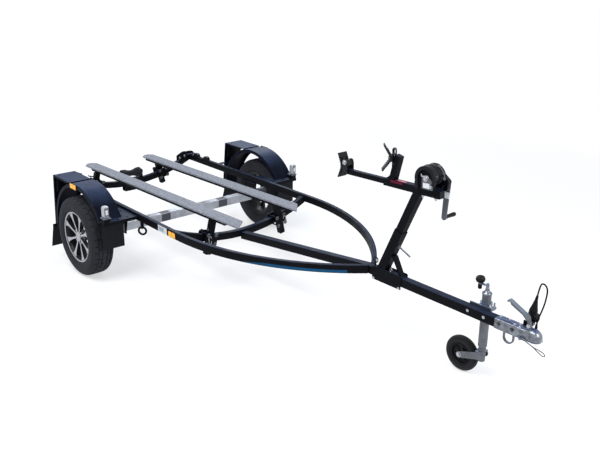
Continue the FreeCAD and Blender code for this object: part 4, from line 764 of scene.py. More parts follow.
# ---- studio ----
@dataclass
class Studio:
    """Camera, lamps and floor, in metres."""

    eye: Point = (3.5872, -2.915, 2.057)
    target: Point = (0.3175, 0.0, 0.527)
    lens: float = 44.42
    floor_size: float = 60.0

    def hang(self, name: str, data: bpy.types.ID, place: Point, aim: Point) -> bpy.types.Object:
        """Puts a camera or lamp up.

        Args:
            name: Its name.
            data: The camera or lamp.
            place: Where it hangs.
            aim: The point that it faces.

        Returns:
            The new object.
        """
        thing = linked(name, data)
        thing.location = place
        thing.rotation_euler = (Vector(aim) - Vector(place)).to_track_quat("-Z", "Y").to_euler()
        return thing

    def camera(self) -> None:
        """Makes the scene's camera."""
        data = bpy.data.cameras.new("camera")
        data.lens, data.sensor_width, data.clip_start, data.clip_end = self.lens, 36.0, 0.05, 200.0
        bpy.context.scene.camera = self.hang("camera", data, self.eye, self.target)

    def lamps(self) -> None:
        """Adds the key, fill and rear softboxes."""
        for name, place, aim, size, power, colour in (
                ("key", (0.2, -2.8, 5.4), (0.0, 0.0, 0.4), (4.5, 2.6), 340.0, (1.0, 0.98, 0.95)),
                ("fill", (5.2, 0.6, 3.0), (0.5, 0.0, 0.5), (2.5, 2.5), 190.0, (0.96, 0.98, 1.0)),
                ("rear", (-4.5, 3.0, 3.6), (-0.6, 0.0, 0.5), (3.0, 2.0), 150.0, (0.85, 0.92, 1.0))):
            data = bpy.data.lights.new(name, "AREA")
            data.shape, data.energy, data.color = "RECTANGLE", power, colour
            data.size, data.size_y = size
            self.hang(name, data, place, aim)

    def world(self) -> None:
        """Lights the scene softly, and is white to the camera and in reflections and glass."""
        bpy.context.scene.world = bpy.data.worlds.new("studio")
        nodes = Nodes(bpy.context.scene.world)
        nodes.mix(nodes.seen(), nodes.add("Background", Color=(0.78, 0.88, 1.0), Strength=0.55),
                  nodes.add("Background", Color=(1.0, 1.0, 1.0)), "OutputWorld")

    def floor(self) -> None:
        """Makes the pale floor, which keeps the trailer's shadow."""
        shape = bmesh.new()
        bmesh.ops.create_grid(shape, x_segments=4, y_segments=4, size=self.floor_size / 2)
        mesh = bpy.data.meshes.new("floor")
        shape.to_mesh(mesh)
        shape.free()
        mesh.materials.append(bpy.data.materials.new("pale_floor"))
        nodes = Nodes(mesh.materials[0])
        place = nodes.add("VectorMath", operation="LENGTH", Vector=nodes.coords())
        lift = nodes.math("MULTIPLY", nodes.seen(), nodes.ramp(place.outputs["Value"], 0.55, 1.0, 2.5, 5.5))
        nodes.mix(lift, nodes.add("BsdfDiffuse", Color=(0.86, 0.86, 0.87)), nodes.add("Emission", Strength=1.0),
                  "OutputMaterial")
        floor = linked("floor", mesh)
        floor.location = (0.0, 0.0, -0.0005)

    def build(self) -> None:
        """Sets up the whole studio."""
        bpy.context.scene.view_settings.view_transform = "Standard"
        for part in (self.camera, self.lamps, self.world, self.floor):
            part()


# ---- cords ----
PLUG_FOOT = (2968.0, 54.0, 508.0)
PLUG_TURN = about(PLUG_FOOT, 7.0)


class Cords:
    """The plug's cable and the breakaway cable."""

    def line(self, name: str, node: str, radius: float, route: Sequence[Point]) -> bpy.types.Object:
        """A smooth cord that stands for a CAD node.

        Args:
            name: The piece's name.
            node: The CAD node.
            radius: Of the cord, in metres.
            route: The route's points in the row frame.

        Returns:
            The curve object.
        """
        data = bpy.data.curves.new(name, "CURVE")
        data.dimensions, data.bevel_depth, data.bevel_resolution, data.resolution_u = "3D", radius, 5, 12
        data.use_fill_caps = True
        spline = data.splines.new("NURBS")
        spline.points.add(len(route) - 1)
        for point, place in zip(spline.points, route):
            point.co = (*place, 1.0)
        spline.order_u, spline.use_endpoint_u = 3, True
        data.materials.append(SHEATH.material())
        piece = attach(linked(name, data), "chassis")
        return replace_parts(piece, node)

    def build(self, plug: bpy.types.Object, hook: bpy.types.Object) -> None:
        """Makes both cords.

        Args:
            plug: The connector on the lighting cable. It is not used.
            hook: The wire loop on the breakaway cable. It is not used.
        """
        x, y, z = PLUG_FOOT
        route = [CHASSIS @ Vector(place) for place in (
            (3004, 47.5, 478), (3004, 47.5, 507), (3011.4, 44.8, 544), (3023.6, 40.3, 580), (3034.5, 36.6, 619),
            (3041.5, 34, 660), (3044.3, 32.9, 702.6), (3030, 38.7, 719.6), (3008.8, 47.3, 721.2),
            PLUG_TURN @ Vector((x, y, z + 200)), PLUG_TURN @ Vector((x, y, z + 143)))]
        self.line("plug_cable_line", "plug_cable", 0.004, route)
        route = [CHASSIS @ Vector(place) for place in ((2982, -38, 447), (3002, -38, 447), (3024, -39, 440),
                                                       (3047, -40, 433.5))]
        self.line("breakaway_line", "breakaway_cable", 0.0025, route)


# ---- chassis ----
@dataclass
class Chassis:
    """Side rails, crossmembers, drawbar and the fittings on them."""

    rail_y: float = 572.0
    rail_z: float = 467.0
    rail_width: float = 30.0
    bend_x: float = 847.0
    bend: float = 1415.0
    rear: float = -830.0
    cross_radius: float = 1324.0
    cross_z: float = 1657.0
    drawbar_slope: float = math.radians(7.1)

    def rail_station(self, along: float) -> tuple[Point, Point, Point]:
        """A station of the left rail.

        Args:
            along: X on the straight, and as much more as the arc is long after it.

        Returns:
            Its middle, and the directions outwards and upwards.
        """
        if along <= self.bend_x:
            return (along, self.rail_y, self.rail_z), LEFT, UP
        turn = (along - self.bend_x) / self.bend
        out = Vector((math.sin(turn), math.cos(turn), 0.0))
        return Vector((self.bend_x, self.rail_y - self.bend, self.rail_z)) + out * self.bend, out, UP

    def rails(self) -> None:
        """Both side rails, with the stripe on the outside of the bend."""
        reach = self.bend * math.acos((self.bend - self.rail_y + 23.0) / self.bend)
        for side in Side:
            stations = [self.rail_station(along)
                        for along in (self.rear, *spread(self.bend_x, self.bend_x + reach, 56))]
            stand_in(f"{side.word}_rail_tube", f"{side.word}_side_rail", FRAME_PAINT, side.place,
                     sweep(rounded_box(self.rail_width, 50.0, 4.0), stations))
            add_on(f"{side.word}_rail_stripe", f"{side.word}_side_rail", STRIPE_BLUE, side.place, self.stripe())

    def stripe(self) -> Shape:
        """Makes the coloured film low on the outer face of a rail's bend, which fades out to a point.

        Returns:
            The new mesh, one sheet thick.
        """
        rows = []
        for step, along in enumerate(spread(1385.0, 2020.0, 36)):
            place, out, _ = self.rail_station(along)
            face = Vector(place) + Vector(out) * (self.rail_width / 2 + 0.3)
            low, height = self.rail_z - 21.0, 17.0 * min(1.0, (step + 0.4) / 9)
            rows.append([(face.x, face.y, z) for z in spread(low, low + height, 2)])
        shape = skin(rows, closed=False)
        bmesh.ops.reverse_faces(shape, faces=[face for face in shape.faces if face.normal.y < 0])
        return shape

    def crossmember(self, x: float) -> Shape:
        """A crossmember that dips along an arc."""
        downs = [Vector((0.0, math.sin(turn), -math.cos(turn)))
                 for turn in spread(math.radians(-25.2), math.radians(25.2), 40)]
        return sweep(rounded_box(40.0, 48.0, 4.0),
                     [(Vector((x, 0.0, self.cross_z)) + down * self.cross_radius, FORE, down) for down in downs])

    def drawbar(self) -> None:
        """The bent drawbar with its bolts and the lashing eye on it."""
        slope, stations = self.drawbar_slope, []
        for x, part in pairs(775, 1, 1951, 1, 1956, 0.8, 1961.6, 0.5, 1967.2, 0.2, 1973, 0, 2880, 0):
            drop = max(0.0, 1962.0 - x) * math.tan(slope)
            stations.append(((x, 0, 465 - drop), LEFT, (-math.sin(slope * part), 0, math.cos(slope * part))))
        stand_in("drawbar_tube", "drawbar", FRAME_PAINT, CHASSIS, sweep(rounded_box(50.0, 50.0, 5.0), stations))
        add_on("drawbar_bolts", "drawbar", ZINC, CHASSIS, bolts(5.5, RIGHT, (2660, -25, 470), (2756, -25, 469)))
        add_on("drawbar_eye", "drawbar", FRAME_PAINT, CHASSIS, ring(16.0, 3.2, (2004, 0, 529), LEFT, 36, 12),
               rod((2004, 0, 488), (2004, 0, 514), 3.6))

    def type_plate(self) -> None:
        """The blank type plate with its four rivets, and a blank field on it."""
        x, face, z = 684.0, -587.0, self.rail_z
        rivets = [rod((x + i, face - 0.8, z + j), (x + i, face - 2.2, z + j), 2.2, 0.6, 12)
                  for i in (-47, 47) for j in (-17, 17)]
        field = painted(block((x - 40, face - 1.3, z - 14), (x + 18, face - 0.9, z + 14), 0.2), 1)
        stand_in("type_plate_blank", "type_plate", [LABEL, PLATE_GREY], CHASSIS,
                 block((x - 52, face - 1, z - 22), (x + 52, face, z + 22), 0.8), field, *rivets)

    def fittings(self) -> None:
        """End plugs, corner brackets, lashing rings and their bolts."""
        soften("rail_end_plugs", PLASTIC, 1.5)
        soften("rear_corner_brackets", FRAME_PAINT, 1.4)
        soften("tie_down_rings", FRAME_PAINT, 1.2, tidy=0.5)
        add_on("bracket_bolts", "rear_corner_brackets", ZINC, CHASSIS,
               twins(8.0, UP, (-752, 552, 497), (-752, 594, 497)),
               twins(8.0, FORE, (-735, 470, 470), (-735, 520, 480)))
        arch = pairs(-33, 0, -29, 16, -13, 26, 13, 26, 29, 16, 33, 0)
        add_on("rail_saddles", "left_side_rail", PLASTIC, CHASSIS,
               both(*(plate(arch, 558, 28, 2.0, 3, (x, 491.5)) for x in (-622, -480))))

    def build(self) -> None:
        """Makes the whole chassis."""
        self.rails()
        stand_in("cross_tubes", "crossmembers", FRAME_PAINT, CHASSIS, self.crossmember(755), self.crossmember(-760))
        self.drawbar()
        self.type_plate()
        self.fittings()


# ---- road wheels ----
@dataclass
class RoadWheel:
    """A tyre with grooved tread on a cast rim whose spokes widen to the edge."""

    side: Side
    middle: float = 795.0
    steps: int = 216
    spokes: int = 8
    tread_foot: float = 270.5
    tread_slope: float = 0.4
    edge_y: float = 68.5
    edge_ring: tuple[float, float] = (170.0, 179.0)
    flat: float = 0.9

    @property
    def place(self) -> Matrix:
        """From the wheel's own axes, outward along Y, to the row frame."""
        return self.side.place @ Matrix.Translation((0.0, self.middle, WHEEL_Z))

    def turned(self, steps: int, *numbers: float) -> Shape:
        """A (radius, outward) outline turned about the axle."""
        return lathe(pairs(*numbers), ORIGIN, LEFT, steps)

    def tyre(self) -> None:
        """The tyre, with stepped side walls and blocks cut into its shoulders."""
        wall = pairs(168, 60, 168, 63.2, 180.3, 63.2, 182.2, 69, 186, 73.5, 193.5, 77.8, 194.5, 79, 200, 79.7, 201, 79,
                     212, 81.5, 224, 82.2, 236, 81.5, 246, 79.3, 247, 80, 250.5, 79, 252, 76.8, 262, 72.2, 270.5, 65.5,
                     275.5, 57.5, 278.3, 48)
        tread = pairs(278.8, 46.5, 272, 45.5, 272, 41, 279.2, 40, 279.6, 21.5, 272.5, 20.7, 272.5, 15.3, 279.9, 14.5)
        inside = pairs(176, -52, 225, -66, 262, -50, 262, 50, 225, 66, 176, 52)
        shape = lathe(mirrored(wall + tread, (280.0, 0.0)) + inside, ORIGIN, LEFT, self.steps)
        for low, high, period, offset, depth in ((50, 70, 6, 0, 4.5), (20.5, 40.5, 9, 3, 5.5), (0, 15, 12, 6, 4.5)):
            self.cut_blocks(shape, low, high, period, offset, depth)
        stand_in(f"{self.side.word}_tyre_moulded", f"{self.side.word}_tyre", TYRE_RUBBER, self.place, shape,
                 smooth=28.0)

    def cut_blocks(self, shape: Shape, low: float, high: float, period: int, offset: int, depth: float) -> None:
        """Sinks every few faces of a row of the tread to cut it into blocks.

        Args:
            shape: The tyre.
            low: Least distance of the row from the tyre's middle plane.
            high: Greatest distance.
            period: Faces from one cut to the next.
            offset: Faces by which the row is turned.
            depth: Of the cuts.
        """
        chosen = []
        for face in shape.faces:
            middle = face.calc_center_median()
            spoke = Vector((middle.x, 0.0, middle.z))
            if (spoke.length < self.tread_foot or not low <= abs(middle.y) <= high
                    or face.normal.dot(spoke.normalized()) < self.tread_slope):
                continue
            column = int((math.atan2(middle.z, middle.x) / math.tau + 1.0) * self.steps + 1e-6)
            if (column + offset + (period // 2 if middle.y < 0 else 0)) % period == 0:
                chosen.append(face)
        for face in bmesh.ops.extrude_discrete_faces(shape, faces=chosen)["faces"]:
            for vert in face.verts:
                vert.co -= Vector((vert.co.x, 0.0, vert.co.z)).normalized() * depth

    def rim(self) -> None:
        """The rim: dark barrel and pockets, machined edge and spoke faces."""
        word = self.side.word
        barrel = self.turned(120, 180.8, 64, 181, 69, 179.5, 70, 174, 69.8, 170.5, 68, 168, 64, 165.5, 59, 162, 56,
                             160, 50, 158, 44, 156, 20, 156, -60, 162, -64, 178, -70, 181, -69, 180.8, -64,
                             167.5, -62, 162.5, -50, 162.5, 50, 167.5, 62)
        for face in barrel.faces:
            middle, (low, high) = face.calc_center_median(), self.edge_ring
            face.material_index = int(middle.y > self.edge_y and low < math.hypot(middle.x, middle.z) < high)
        shapes = [barrel, *(self.spoke(22.5 + number * 360 / self.spokes) for number in range(self.spokes)),
                  self.turned(64, 0, 40, 62, 40, 66, 38.5, 68, 34, 68, 29, 0, 29),
                  rod((94, 50, 118), (89, 63, 111), 3.5, 1.0, 12)]
        for x, z in arc((0.0, 0.0), 49.0, 45, 315, 3):
            shapes += [rod((x, 39, z), (x, 43, z), 11.0, 1.0, 20),
                       painted(rod((x, 42, z), (x, 52, z), 9.5, 1.2, 6), 2)]
        stand_in(f"{word}_rim_cast", f"{word}_wheel_rim", [RIM_DARK, MACHINED, ZINC], self.place, *shapes)
        add_on(f"{word}_wheel_cap", f"{word}_wheel_rim", MACHINED, self.place,
               self.turned(64, 0, 61.5, 10, 61.2, 20, 60.2, 26, 59, 27.5, 57.5, 29.5, 58, 32.5, 57, 33.5, 55,
                           33.5, 40, 0, 40))

    def spoke(self, turn: float) -> Shape:
        """Makes one spoke, crowned outwards, with a machined face.

        Args:
            turn: Degrees from the top.

        Returns:
            The new mesh.
        """
        shape = skin([((-half, front, radius), (half, front, radius), (half + 2.5, back, radius),
                       (-half - 2.5, back, radius)) for radius, half, front, back in (
            (24, 7.2, 54, 37), (50, 6.8, 55, 37.5), (80, 7.2, 57.5, 38.5), (110, 8.6, 60, 39.5), (132, 11.5, 62, 40),
            (148, 16, 63.5, 40), (157, 20.5, 64.5, 40), (169, 26.5, 65.5, 40))])
        for face in shape.faces:
            face.material_index = int(face.normal.y > self.flat)
        return moved(rounded(shape, 1.2), about(ORIGIN, turn))

    def build(self) -> None:
        """Makes the tyre, the rim and the hub's finish."""
        self.tyre()
        self.rim()
        dress(GALVANISED, f"{self.side.word}_wheel_hub")


def axle() -> None:
    """Rounds the folded edges of the axle's beam and arms, and adds two darker grey bands across the beam, and the
    bolts of the hangers.
    """
    soften("axle_beam", AXLE_ZINC, 5.0, 3)
    # Two darker grey bands on the front of the beam.
    add_on("axle_bands", "axle_beam", BAND_GREY, CHASSIS,
           *(block((89.6, low, 295.6), (150.4, high, 356.4), 4.5, 3) for low, high in ((-271, -190), (238, 324))))
    soften("axle_hangers", FRAME_PAINT, 1.5)
    soften("trailing_arms", RIM_DARK, 3.0)
    add_on("hanger_bolts", "axle_hangers", ZINC, CHASSIS, twins(8.0, LEFT, (60, -534.5, 386), (180, -534.5, 386)))


# ---- mudguards and lamps ----
@dataclass
class Mudguards:
    """Arches with their lamp boxes, steps and flaps, and every lamp and reflector."""

    inner: float = 675.0
    outer: float = 838.0
    radius: float = 372.0
    sheet: float = 3.0
    lip: float = 26.0
    edge: float = 6.0

    def arch(self) -> Shape:
        """Folds the arch: a U section with rolled edges, carried round the wheel.

        Returns:
            The new mesh.
        """
        low, high, crown, edge, sheet = self.inner, self.outer, self.radius, self.edge, self.sheet
        foot, turns = crown - self.lip, spread(math.radians(30), math.radians(187), 96)
        section = [(low, foot), *arc((low + edge, crown - edge), edge, 180, 90, 6),
                   *arc((high - edge, crown - edge), edge, 90, 0, 6), (high, foot), (high - sheet, foot),
                   (high - sheet, crown - edge), (high - edge, crown - sheet), (low + edge, crown - sheet),
                   (low + sheet, crown - edge), (low + sheet, foot)]
        return skin([[(radius * math.cos(turn), y, WHEEL_Z + radius * math.sin(turn)) for y, radius in section]
                     for turn in turns])

    def box(self) -> list[Shape]:
        """Folds the lamp box behind the arch.

        Returns:
            Its top with the rear, and its two side cheeks, which are open in the middle.
        """
        top = pairs(-98.5, 627, -98.5, 645, -100, 646, -345, 646, -350.5, 643.5, -353, 638, -396, 238, -393, 238,
                    -350, 637, -347.5, 641.5, -344, 643, -101.5, 643, -101.5, 627)
        cheek = pairs(-396, 238, -353, 638, -350.5, 643.5, -345, 646, -101.5, 646, -140, 632, -331, 632, -335.5, 632,
                      -339, 630, -382, 238)
        return [plate(top, self.inner, self.outer - self.inner, 0.8),
                *(plate(cheek, y, self.sheet, 0.6, 1) for y in (self.inner, self.outer - self.sheet))]

    def guard(self, side: Side) -> None:
        """Makes one mudguard with its rivets and bolts.

        Args:
            side: The mudguard's side.
        """
        word, node = side.word, f"{side.word}_mudguard"
        stand_in(f"{word}_guard_skin", node, GUARD_PAINT, side.place, self.arch(), *self.box(), smooth=30.0)
        add_on(f"{word}_guard_rivets", node, PLASTIC, side.place, *(
            lathe(pairs(0, 3.2, 3, 2.9, 5.5, 1.8, 6.5, 0, 0, 0), (x, y, 646), UP, 20)
            for x in (-140, -305) for y in (self.outer - 30, self.inner + 30)))
        out = Vector((-math.cos(math.radians(75)), 0.0, math.sin(math.radians(75))))
        crown = Vector((0.0, 0.0, WHEEL_Z)) + out * self.radius
        add_on(f"{word}_guard_bolts", node, FRAME_PAINT, side.place,
               bolts(6.5, out, (crown.x, 716, crown.z), (crown.x, 797, crown.z)))

    def lamps(self) -> None:
        """Front lamps with rounded tops, and rear lamps."""
        stand_in("front_lamp_lenses", "front_lamps", [CLEAR_LENS, LENS_GREY, LENS_PALE], CHASSIS, both(
            painted(block((336.5, 791.5, 513), (377.5, 832.5, 590), 12.0, 5), 2),
            painted(block((375.5, 796.5, 522.5), (378.5, 827.5, 581.5), 6.0, 5), 1),
            block((377, 803.5, 533), (379.5, 820.5, 566), 5.0, 5)))
        add_on("front_lamp_bases", "front_lamps", GALVANISED, CHASSIS, both(
            block((330, 785, 504.5), (384, 839, 509), 1.8), block((335, 790, 508.5), (379, 834, 515), 2.0)))
        stand_in("tail_lamp_housings", "tail_lamps", PLASTIC, CHASSIS,
                 both(self.rear_slab(9.0, 34.0, 65.0, 515.0, 615.0, 4.0)))
        add_on("tail_lamp_lenses", "tail_lamps", [RED_LENS, AMBER], CHASSIS, both(
            self.rear_slab(0.0, 8.5, 61.5, 518.5, 580.0, 2.5),
            painted(self.rear_slab(0.0, 8.5, 61.5, 582.5, 611.5, 2.5), 1)))

    def reflectors(self) -> None:
        """Reflectors on the mudguards and the rails, each of two fields in a frame."""
        frames, faces = [], []
        for x, y, z, half in ((-30, self.outer, WHEEL_Z + self.radius - 18, 44), (801, 587, 467, 39)):
            frames.append(block((x - half, y - 0.5, z - 18), (x + half, y + 3.5, z + 18), 1.2))
            faces += [block((low + 1.6, y + 3, z - 16.5), (low + half - 1.6, y + 7, z + 16.5), 1.6, 3)
                      for low in (x - half, x)]
        add_on("reflector_frames", "side_reflectors", PLASTIC, CHASSIS, both(*frames))
        stand_in("reflector_faces", "side_reflectors", AMBER, CHASSIS, both(*faces))

    def rear_slab(self, near: float, far: float, half: float, foot: float, top: float, bevel: float) -> Shape:
        """A slab along the box's sloping rear face.

        Args:
            near: How far in from the lamp's rearmost plane it begins.
            far: How far in it ends.
            half: Half its width.
            foot: Height of its lower edge.
            top: Height of its upper edge.
            bevel: Width of its rounding.

        Returns:
            The new mesh.
        """
        low, high = (-360.0 - (646.0 - z) / 408.0 * 44.0 for z in (foot, top))
        return plate([(high + near, top), (low + near, foot), (low + far, foot), (high + far, top)],
                     (self.inner + self.outer) / 2 - half, 2 * half, bevel, 3)

    def build(self) -> None:
        """Makes both mudguards and everything on them."""
        for side in Side:
            self.guard(side)
        soften("mudguard_brackets", FRAME_PAINT, 1.4)
        soften("mud_flaps", FLAP_RUBBER, 1.2)
        add_on("step_bolts", "mudguard_brackets", PLASTIC, CHASSIS,
               twins(6.5, UP, (330, 640, 476), (200, 620, 476), (352, 722, 476), (-352, 640, 476)))
        add_on("flap_bolts", "mud_flaps", PLASTIC, CHASSIS,
               twins(5.0, FORE, (339, 705, 462), (339, 757, 462), (339, 808, 462)))
        self.lamps()
        self.reflectors()


# ---- bunks and keel roller ----
@dataclass
class Bunks:
    """Carpeted boards on their steel strips and posts, and the keel roller."""

    post_turn: Matrix = about((0.0, 0.0, 1657.0), math.degrees(math.atan(275.0 / (1657.0 - 478.0))), "X")
    axle: Point = (-760.0, 0.0, 413.0)

    def clamp_bolts(self) -> None:
        """Nuts on the post clamps, T-screws that hold the posts' height, and their safety wires."""
        nuts, screws, wires, top = [], [], [], 392
        for x, way in ((755, 1), (-760, -1)):
            nuts += [hex_bolt((x + out * reach, y, z), (out, 0, 0), 8.5)
                     for out, reach in ((way, 68), (-way, 28)) for y in (-32, 32) for z in (302, 364.4)]
            stem = x + way * 40
            nuts.append(rod((stem, 20.5, top), (stem, 29, top), 8.5, 1.0, 6))
            screws += [rod((stem, 28, top), (stem, 62, top), 4.5, 0.5),
                       rod((stem - 22, 62, top), (stem + 22, 62, top), 4.5, 1.2)]
            points = [Vector((x + way * 78, 12 + y, 345 + z))
                      for y, z in pairs(0, 0, 10, 14, 20, 12, 22, 0, 14, -22, 4, -40, -6, -36, -4, -18)]
            wires += [rod(first, last, 1.8, 0.0, 10) for first, last in zip(points, points[1:])]
        for name, finish, shapes in (("clamp_nuts", GALVANISED, nuts), ("post_screws", FRAME_PAINT, screws),
                                     ("clamp_wires", ZINC, wires)):
            add_on(name, "post_clamps", finish, CHASSIS, both(moved(joined(*shapes), self.post_turn)))

    def roller(self) -> None:
        """The keel roller, waisted for the keel, with webs down both cones and across its hollow ends."""
        x, y, z = self.axle
        half = pairs(8.2, -88, 14, -88, 14.5, -79, 30, -79, 31.5, -88.5, 36.5, -85, 38, -80, 38, -74.5, 36.8, -73.5,
                     36.8, -71.5, 38, -70.5, 37.5, -62, 34.5, -50, 30, -34, 26.2, -18, 24.2, -6)
        outline = pairs(22, 6, 26.2, 24, 37.5, 50, 37.8, 66, 30, 66, 20, 20)
        webs = []
        for number in range(16):
            way, turn = -1 if number % 2 else 1, about(self.axle, number // 2 * 45.0)
            cone = prism([(x - 1.5, way * along, z + radius) for radius, along in outline], (3, 0, 0), 0.6)
            end = block((x - 1.2, way * 83.5 - 4.5, z + 13), (x + 1.2, way * 83.5 + 4, z + 31.5))
            webs += [moved(cone, turn), moved(end, turn)]
        stand_in("keel_roller_moulded", "keel_roller", RUBBER, CHASSIS, lathe(mirrored(half), self.axle, LEFT, 64),
                 *webs)
        add_on("roller_pin_nuts", "roller_bracket", ZINC, CHASSIS, twins(9.5, LEFT, (x, 106, z)))

    def build(self) -> None:
        """Makes the bunks, what carries them, and the roller."""
        soften("bunks", CARPET, 5.2, 4)
        for node, bevel in (("bunk_bars", 2.0), ("bunk_posts", 2.2), ("post_clamps", 1.4), ("roller_bracket", 1.4)):
            soften(node, FRAME_PAINT, bevel)
        self.clamp_bolts()
        self.roller()


# ---- mast, bow pads and winch ----
@dataclass
class Mast:
    """The mast with its beam and bow arm, and the two rubber bow pads."""

    rear_pad: Point = (1732.0, 0.0, 1045.0)
    top_pivot: Point = (2100.941, 0.0, 1150.84)
    top_yaw: float = 44.0
    ribs: int = 6

    def leaf(self, length: float, width: float, degrees: float) -> Shape:
        """One leaf of a pad, with ribs across the face that meets the bow.

        Args:
            length: Of the leaf.
            width: Across the leaf.
            degrees: How far it is turned down from the line to the rear.

        Returns:
            The new mesh, with the pad's tip at the origin.
        """
        pitch, outline = (length - 12) / self.ribs, pairs(0, 0)
        for start in (-8 - rib * pitch for rib in range(self.ribs)):
            end = start - pitch * 0.42
            outline += pairs(start, 0, start - 1.5, 2.2, end, 2.2, end - 1.5, 0)
        outline += pairs(2 - length, 0, -length, 2, -length, 7, 3 - length, 9, 0, 9)
        return moved(plate(outline, -width / 2, width, 0.7), about(ORIGIN, degrees))

    def pad(self, name: str, node: str, place: Matrix, length: float, width: float, opening: float, pitch: float
            ) -> None:
        """A V-shaped pad on its root, with its bolt and straps.

        Args:
            name: The piece's name.
            node: The CAD node that it stands for.
            place: From the pad's tip to the row frame.
            length: Of a leaf.
            width: Across the pad.
            opening: Degrees between a leaf and the line to the rear.
            pitch: Degrees that the whole pad leans.
        """
        stand_in(name, node, RUBBER, place, self.leaf(length, width, opening + pitch),
                 moved(self.leaf(length, width, opening - pitch), MIRROR_Z),
                 plate(pairs(-6, -24, -6, 24, 10, 15, 10, -15), 1 - width / 2, width - 2, 2.5, 3))
        add_on(name + "_bolt", node, ZINC, place, hex_bolt((-6.2, 0, 0), REAR, 8.5, 15.0))
        add_on(name + "_straps", node, FRAME_PAINT, place, *(
            moved(block((-length * 0.62, y - 6, 9.2), (-2, y + 6, 11.8), 0.8), flip @ about(ORIGIN, degrees))
            for y in (-width * 0.3, width * 0.3)
            for flip, degrees in ((Matrix(), opening + pitch), (MIRROR_Z, opening - pitch))))

    def saddle(self) -> None:
        """The moulded saddle that bolts the rear pad to the bow arm."""
        outline = pairs(1741, 1008, 1769, 1006, 1776, 1012, 1776, 1060, 1768, 1077, 1757, 1084, 1741, 1080)
        web = [(x - 4, z - 6) for x, z in outline if z > 1040] + pairs(1741, 1036)
        add_on("rear_pad_saddle", "rear_bow_pad", RUBBER, HEAD, plate(outline, -30, 7, 2.2, 3),
               plate(outline, 23, 7, 2.2, 3), plate(web, -24, 48, 2.0))
        add_on("rear_pad_saddle_bolts", "rear_bow_pad", ZINC, HEAD, twins(9.5, LEFT, (1758, 30, 1068)))

    def details(self) -> None:
        """Bolts of the hinge and beam, the clamp's T-handle, the end plug and the band on the beam."""
        x, _, z = self.top_pivot
        swing = HEAD @ about(self.top_pivot, self.top_yaw, "Z")
        add_on("hinge_bolts", "winch_beam", DARK_STEEL, swing, hex_bolt((x, 0, z + 48), UP, 8.5, 11.5),
               hex_bolt((x, 0, z - 50), DOWN, 7.5, 10.5), twins(6.5, LEFT, (x, 17.2, z + 26), (x, 17.2, z - 30)))
        add_on("hinge_strap", "winch_beam", ZINC, swing, block((x - 2, -20.5, z - 44), (x + 6, -18, z + 47), 0.8))
        add_on("beam_bolts", "winch_beam", ZINC, HEAD, *(
            rod((at, -12, top), (at, -12, end), radius, 1.0, sides)
            for at in (2313, 2397) for top, end, radius, sides in ((994, 978, 5.0, 14), (993.5, 987, 9.0, 6))))
        add_on("beam_band", "winch_beam", [BAND_PINK, BAND_PALE], HEAD,
               block((2118, -18, 1032.8), (2195, 18, 1033.4), 0.2),
               block((2096, -20.8, 1019), (2180, -19.8, 1032), 0.2),
               painted(block((2124, -6, 1033.1), (2190, 5, 1033.7), 0.1), 1))
        add_on("beam_end_plug", "winch_beam", PLASTIC, HEAD, block((2423.5, -19.5, 993.5), (2427, 19.5, 1032.5), 1.6))
        x, z = MAST_FOOT[0] + 27, 686
        add_on("mast_clamp_handle", "mast_sleeve", GALVANISED, MAST, rod((x - 1, 0, z), (x + 11, 0, z), 11.0, 1.0, 6),
               rod((x + 10, 0, z), (x + 92, 0, z), 5.0, 1.2))

    def socket(self) -> None:
        """The mast's open square socket between its side plates, with the strut and the lashing eye in front."""
        x = MAST_FOOT[0]
        tube = sweep(rounded_box(54.8, 54.8, 4.5), [((x, 0, 460), FORE, LEFT), ((x, 0, 778), FORE, LEFT)])
        top = max(tube.faces, key=lambda face: face.calc_center_median().z)
        bmesh.ops.inset_region(tube, faces=[top], thickness=4.0)
        bmesh.ops.translate(tube, vec=(0, 0, -30), verts=top.verts[:])
        side = pairs(2008, 424, 2008, 498, 2012, 504, 2212, 504, 2218, 498, 2218, 424)
        stand_in("mast_socket_welded", "mast_sleeve", FRAME_PAINT, CHASSIS, moved(tube, about(MAST_FOOT, MAST_LEAN)),
                 plate(side, -31, 6, 1.2), plate(side, 25, 6, 1.2),
                 plate(pairs(2196, 490.5, 2212, 490.5, 2150, 600, 2133, 595), -16, 32, 1.6),
                 block((2110, -25, 490), (2214, 25, 494), 1.2))
        add_on("mast_socket_eye", "mast_sleeve", ZINC, CHASSIS, ring(10.5, 2.2, (2128, -10, 508), (0.15, 1, 0.1), 28),
               twins(5.5, LEFT, (2020, 31, 431), (2206, 31, 431)))

    def build(self) -> None:
        """Makes the mast, its beam and arm, and both pads."""
        self.socket()
        soften("mast_tube", FRAME_PAINT, 3.0, 3)
        soften("winch_beam", FRAME_PAINT, 2.6)
        soften("bow_arm", FRAME_PAINT, 2.2)
        self.details()
        self.pad("rear_pad_moulded", "rear_bow_pad", HEAD @ Matrix.Translation(self.rear_pad), 74, 66, 68, 0)
        self.saddle()
        x, y, z = self.top_pivot
        tip = HEAD @ about(self.top_pivot, self.top_yaw, "Z") @ Matrix.Translation((x - 22, y, z))
        self.pad("top_pad_moulded", "top_bow_pad", tip, 80, 60, 58, 3)


